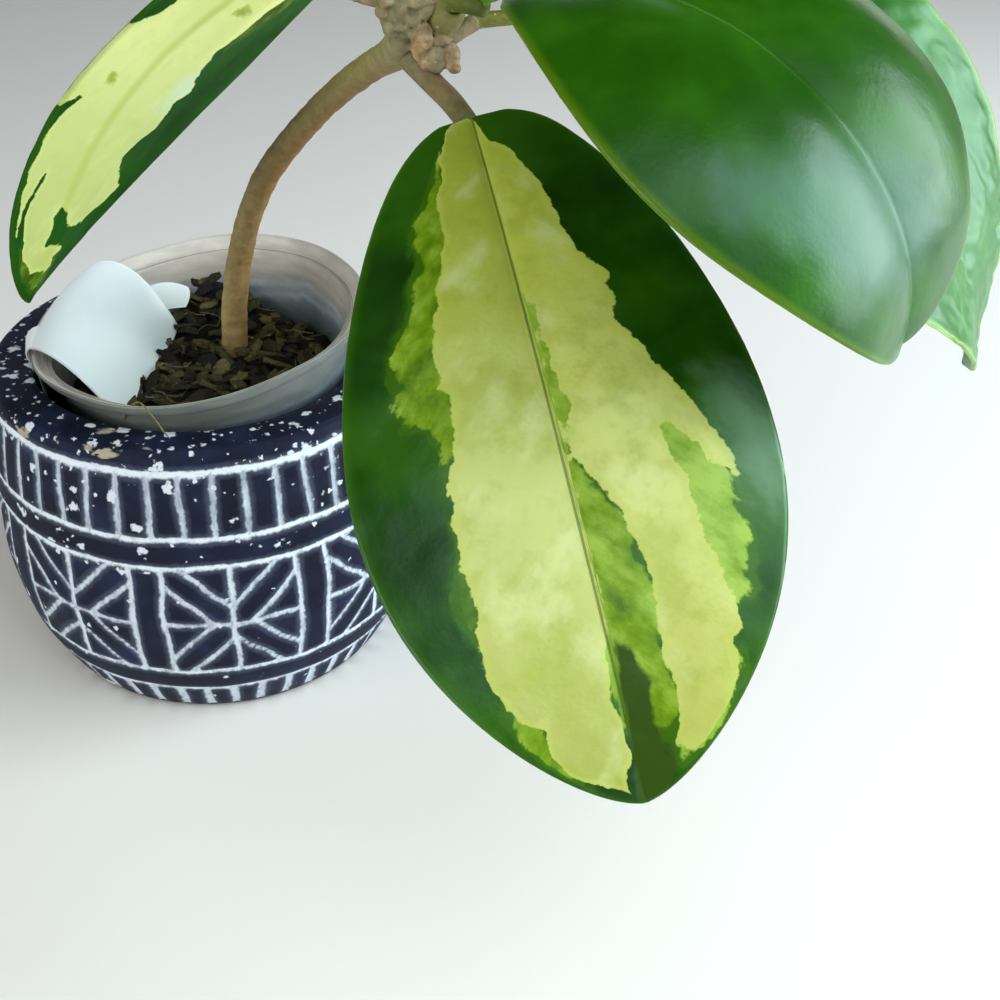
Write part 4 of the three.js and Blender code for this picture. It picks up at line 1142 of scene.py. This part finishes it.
def leafMaterial(name, look):
    # Thick waxy hoya leaf: satin cuticle over fleshy green, light passing a little through the blade.
    # Sectors of cream, lime and dark green meet in torn steps, each sector mottled and in soft tiers.
    material, add, shader, inMm = startMaterial(
        name, IOR=1.45, Roughness=look["roughness"], Specular_IOR_Level=look["shine"],
        Specular_Tint=look["tint"], Subsurface_Weight=look["glow"], Subsurface_Scale=0.0012,
        Subsurface_Radius=(0.8, 1.0, 0.35), Coat_Weight=look["coat"], Coat_Roughness=0.3)
    field = {label: add("Attribute", attribute_name=label, output="Fac") for label in (
        "share", "ribSide", "toEdge", "creamDepth", "creamTone", "limeDepth", "limeTone", "darkDepth",
        "paintedSheenDepth", "paintedSheenTone")}
    veinSpace = add("Attribute", attribute_name="veinSpace", output="Vector")
    stretched = add("VectorMath", [veinSpace, (0.12, 0.19, 1.0)], operation="MULTIPLY")
    pattern = {key: add("TexNoise", {"Vector": place, "Scale": scale, "Detail": detail, "Roughness": rough})
               for key, (place, scale, detail, rough) in {
                   "tear": (veinSpace, 0.23, 6.0, 0.6), "mottle": (stretched, 1.1, 6.0, 0.6),
                   "pale": (stretched, 0.55, 5.0, 0.55), "cloud": (inMm, 0.055, 4.0, 0.5),
                   "blotch": (inMm, 0.075, 4.0, 0.6), "freckle": (inMm, 0.3, 4.0, 0.6),
                   "skin": (inMm, 1.1, 4.0, 0.5)}.items()}
    torn = add("MapRange", [pattern["tear"], 0.0, 1.0, -2.5, 2.5])
    tornWide = add("MapRange", [pattern["mottle"], 0.0, 1.0, -5.0, 5.0])

    def inside(sector, softness, inset=0.0, jitter=torn):
        # Share of a sector, from its depth in mm, with the border moved about by a tear pattern.
        depth = add("Math", [field[sector + "Depth"], jitter], operation="ADD")
        return add("MapRange", [depth, inset - softness, inset + softness], **soft)

    # soft steps: a value, where the step begins and ends, and how strong it gets
    away = add("Math", [field["ribSide"]], operation="ABSOLUTE")
    mottled = look["mottled"]
    step = {key: add("MapRange", [value, begin, end, 0.0, most], **soft)
            for key, (value, begin, end, most) in {
                "foot": (field["share"], 0.2, 0.03, look["footTier"]),
                "blotch": (pattern["blotch"], 0.45, 0.66, 0.45 * mottled),
                "pale": (pattern["pale"], 0.48, 0.68, 0.5 * mottled),
                "freckle": (pattern["freckle"], 0.5, 0.68, 0.18 * mottled),
                "rib": (away, look["ribWidth"], 0.12, look["ribStrength"]),
                "ribLength": (field["share"], look["ribEnd"] + 0.12, look["ribEnd"] - 0.12, 1.0),
                "edge": (field["toEdge"], 2.2, 0.1, look["edgeStrength"])}.items()}
    body = add("ValToRGB", [pattern["cloud"]], stops=look["green"])
    limeTone = add("Math", [field["limeTone"], 0.5, pattern["mottle"]], operation="MULTIPLY_ADD")
    lime = add("ValToRGB", [limeTone], stops=look["lime"])
    gain = add("MapRange", [field["creamTone"], 0.0, 1.0, 0.92, 1.22])
    alongCream = add("ValToRGB", [field["share"]], stops=look["cream"])
    cream = layered(add, add("VectorMath", {0: alongCream, "Scale": gain}, operation="SCALE"), [
        (step["blotch"], look["creamDark"]), (step["pale"], look["creamLight"]),
        (step["freckle"], look["creamDark"])])
    fringe = layered(add, cream, [(look["fringe"], look["creamEdge"])])
    fringed = layered(add, fringe, [(inside("cream", 0.7, 1.3), cream)])

    # over the sectors: a thin line along the midrib, light through the thin margin, and a painted bluish
    # sheen, a soft highlight painted into the colour
    inCream = inside("cream", 0.2)
    rib = add("Math", [step["rib"], step["ribLength"]], operation="MULTIPLY")
    # the share of a painted sheen: a soft highlight painted into the blade's colour over its patches
    waxy = add("Math", [inside("paintedSheen", 4.5, 1.5, tornWide), field["paintedSheenTone"]], operation="MULTIPLY")
    paintedSheen = add("Math", [waxy, look["paintedSheenCover"]], operation="MULTIPLY")
    if look["keptToCream"]:
        rib, paintedSheen = [add("Math", [cover, inCream], operation="MULTIPLY") for cover in (rib, paintedSheen)]
    color = layered(add, body, [
        (step["foot"], look["tier"]), (inside("lime", 1.6, -0.6, tornWide), look["tier"]),
        (inside("lime", 0.3), look["limeEdge"]), (inside("lime", 0.5, 1.6, tornWide), lime),
        (inCream, fringed), (inside("dark", 0.8), look["shade"]), (rib, look["rib"]),
        (step["edge"], look["edge"]), (paintedSheen, look["paintedSheen"])])
    bump = add("Bump", {"Height": pattern["skin"], "Strength": look["bump"], "Distance": 0.0003})
    setInputs(shader, {"Base Color": color, "Normal": bump, "Coat Normal": bump})
    return material


variegated = {
    "roughness": 0.3, "shine": 0.42, "glow": 0.12, "coat": 0.08, "bump": 0.14, "tint": "#d4fbee",
    "green": [(0.35, "#143800"), (0.5, "#1d4a01"), (0.65, "#2d6004")], "tier": "#2f6004", "footTier": 0.7,
    "lime": [(0.4, "#365c02"), (0.58, "#507a03"), (0.74, "#769c10"), (0.95, "#a2c448")],
    "limeEdge": "#3a6806",
    "cream": [(0.0, "#97a535"), (0.1, "#a9b841"), (0.25, "#b6c54c"), (0.45, "#c4cf6e"), (0.62, "#ccd480"),
              (0.8, "#bcc367"), (1.0, "#aab258")],
    "creamDark": "#a5b338", "creamLight": "#dfe8a6", "creamEdge": "#c3d25c", "fringe": 0.45, "mottled": 1.0,
    "shade": "#34500a", "rib": "#3c5a08", "ribWidth": 0.34, "ribStrength": 0.7, "ribEnd": 0.95,
    # colour and cover of the painted sheen, a soft highlight painted over the blade
    "edge": "#4a7a18", "edgeStrength": 0.35, "paintedSheen": "#86ae8c", "paintedSheenCover": 0.5, "keptToCream": False,
}
leafLooks = {
    "front": variegated,
    "left": {**variegated, "roughness": 0.5, "shine": 0.02, "glow": 0.3, "coat": 0.0,
             "green": [(0.35, "#163e0c"), (0.6, "#235518")], "tier": "#2c5c1c",
             "lime": [(0.4, "#37520e"), (0.6, "#5c7a22"), (0.75, "#8aa63c")], "limeEdge": "#3d5c14",
             "cream": [(0.0, "#e6ee96"), (0.45, "#e3eb9c"), (0.62, "#ccd88a"), (0.9, "#bac678")],
             "creamDark": "#c3d268", "creamLight": "#e8f2a8", "creamEdge": "#d6e684", "mottled": 0.4,
             "shade": "#a9ba4c", "rib": "#bccb62", "ribWidth": 2.6, "ribStrength": 0.6, "edge": "#3a6c18",
             # a whitish painted sheen
             "paintedSheen": "#d9f2e0", "paintedSheenCover": 0.75, "keptToCream": True},
    "upperRight": {**variegated, "shine": 0.34, "tint": "#dcf0f4",
                   "green": [(0.35, "#1c4f00"), (0.5, "#245a02"), (0.65, "#316b08")], "footTier": 0.0,
                   "rib": "#5f9448", "ribWidth": 0.45, "ribStrength": 0.45, "ribEnd": 0.55, "edge": "#6a8c14",
                   # a teal painted sheen
                   "edgeStrength": 0.6, "paintedSheen": "#5f857a"},
    "backRight": {**variegated, "roughness": 0.36, "shine": 0.5,
                  "green": [(0.35, "#2a661f"), (0.6, "#438034")], "footTier": 0.0,
                  "rib": "#8fb57a", "ribWidth": 0.5, "ribStrength": 0.5,
                  "edge": "#86b049", "edgeStrength": 0.85},
}
reliefs = {  # side veins' depth and spacing, heights of the swells and of the crinkle, depth of the groove
    "front": (0.07, 12.0, 0.35, 0.07, 0.2), "left": (0.05, 12.0, 0.3, 0.05, 0.3),
    "upperRight": (0.05, 13.0, 0.28, 0.05, 0.12), "backRight": (0.2, 11.0, 0.7, 0.5, 0.2),
}
for leafName, leaf in leaves.items():
    look = leafMaterial("waxy hoya leaf, " + leafName, leafLooks[leafName])
    bladePiece = makeBlade(leafName + "Blade", leaf, reliefs[leafName], look)
    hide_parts(leaf["node"])
    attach(bladePiece, "root")
    # the stalk ends inside the ridge under the blade's foot
    point, _, normal, _ = bladeFrames(leaf, np.array([0.02]))
    radius = leaf["stalkRadius"] * 0.9
    sunk = (*(point[0] - normal[0] * (blade["thick"] * 0.5 + radius * 0.8)), radius)
    points, faces, share = tube(leaf["stalk"] + [sunk], 28, 60)
    stalkLook = vineBarkMaterial("leaf stalk, " + leafName, leaf["stalkColors"], 1.3, 0.5)
    stalkPiece = makePiece(leafName + "Stalk", points, faces, stalkLook)
    setValues(stalkPiece, "share", share)
    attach(stalkPiece, "root")
print("leaves ready")
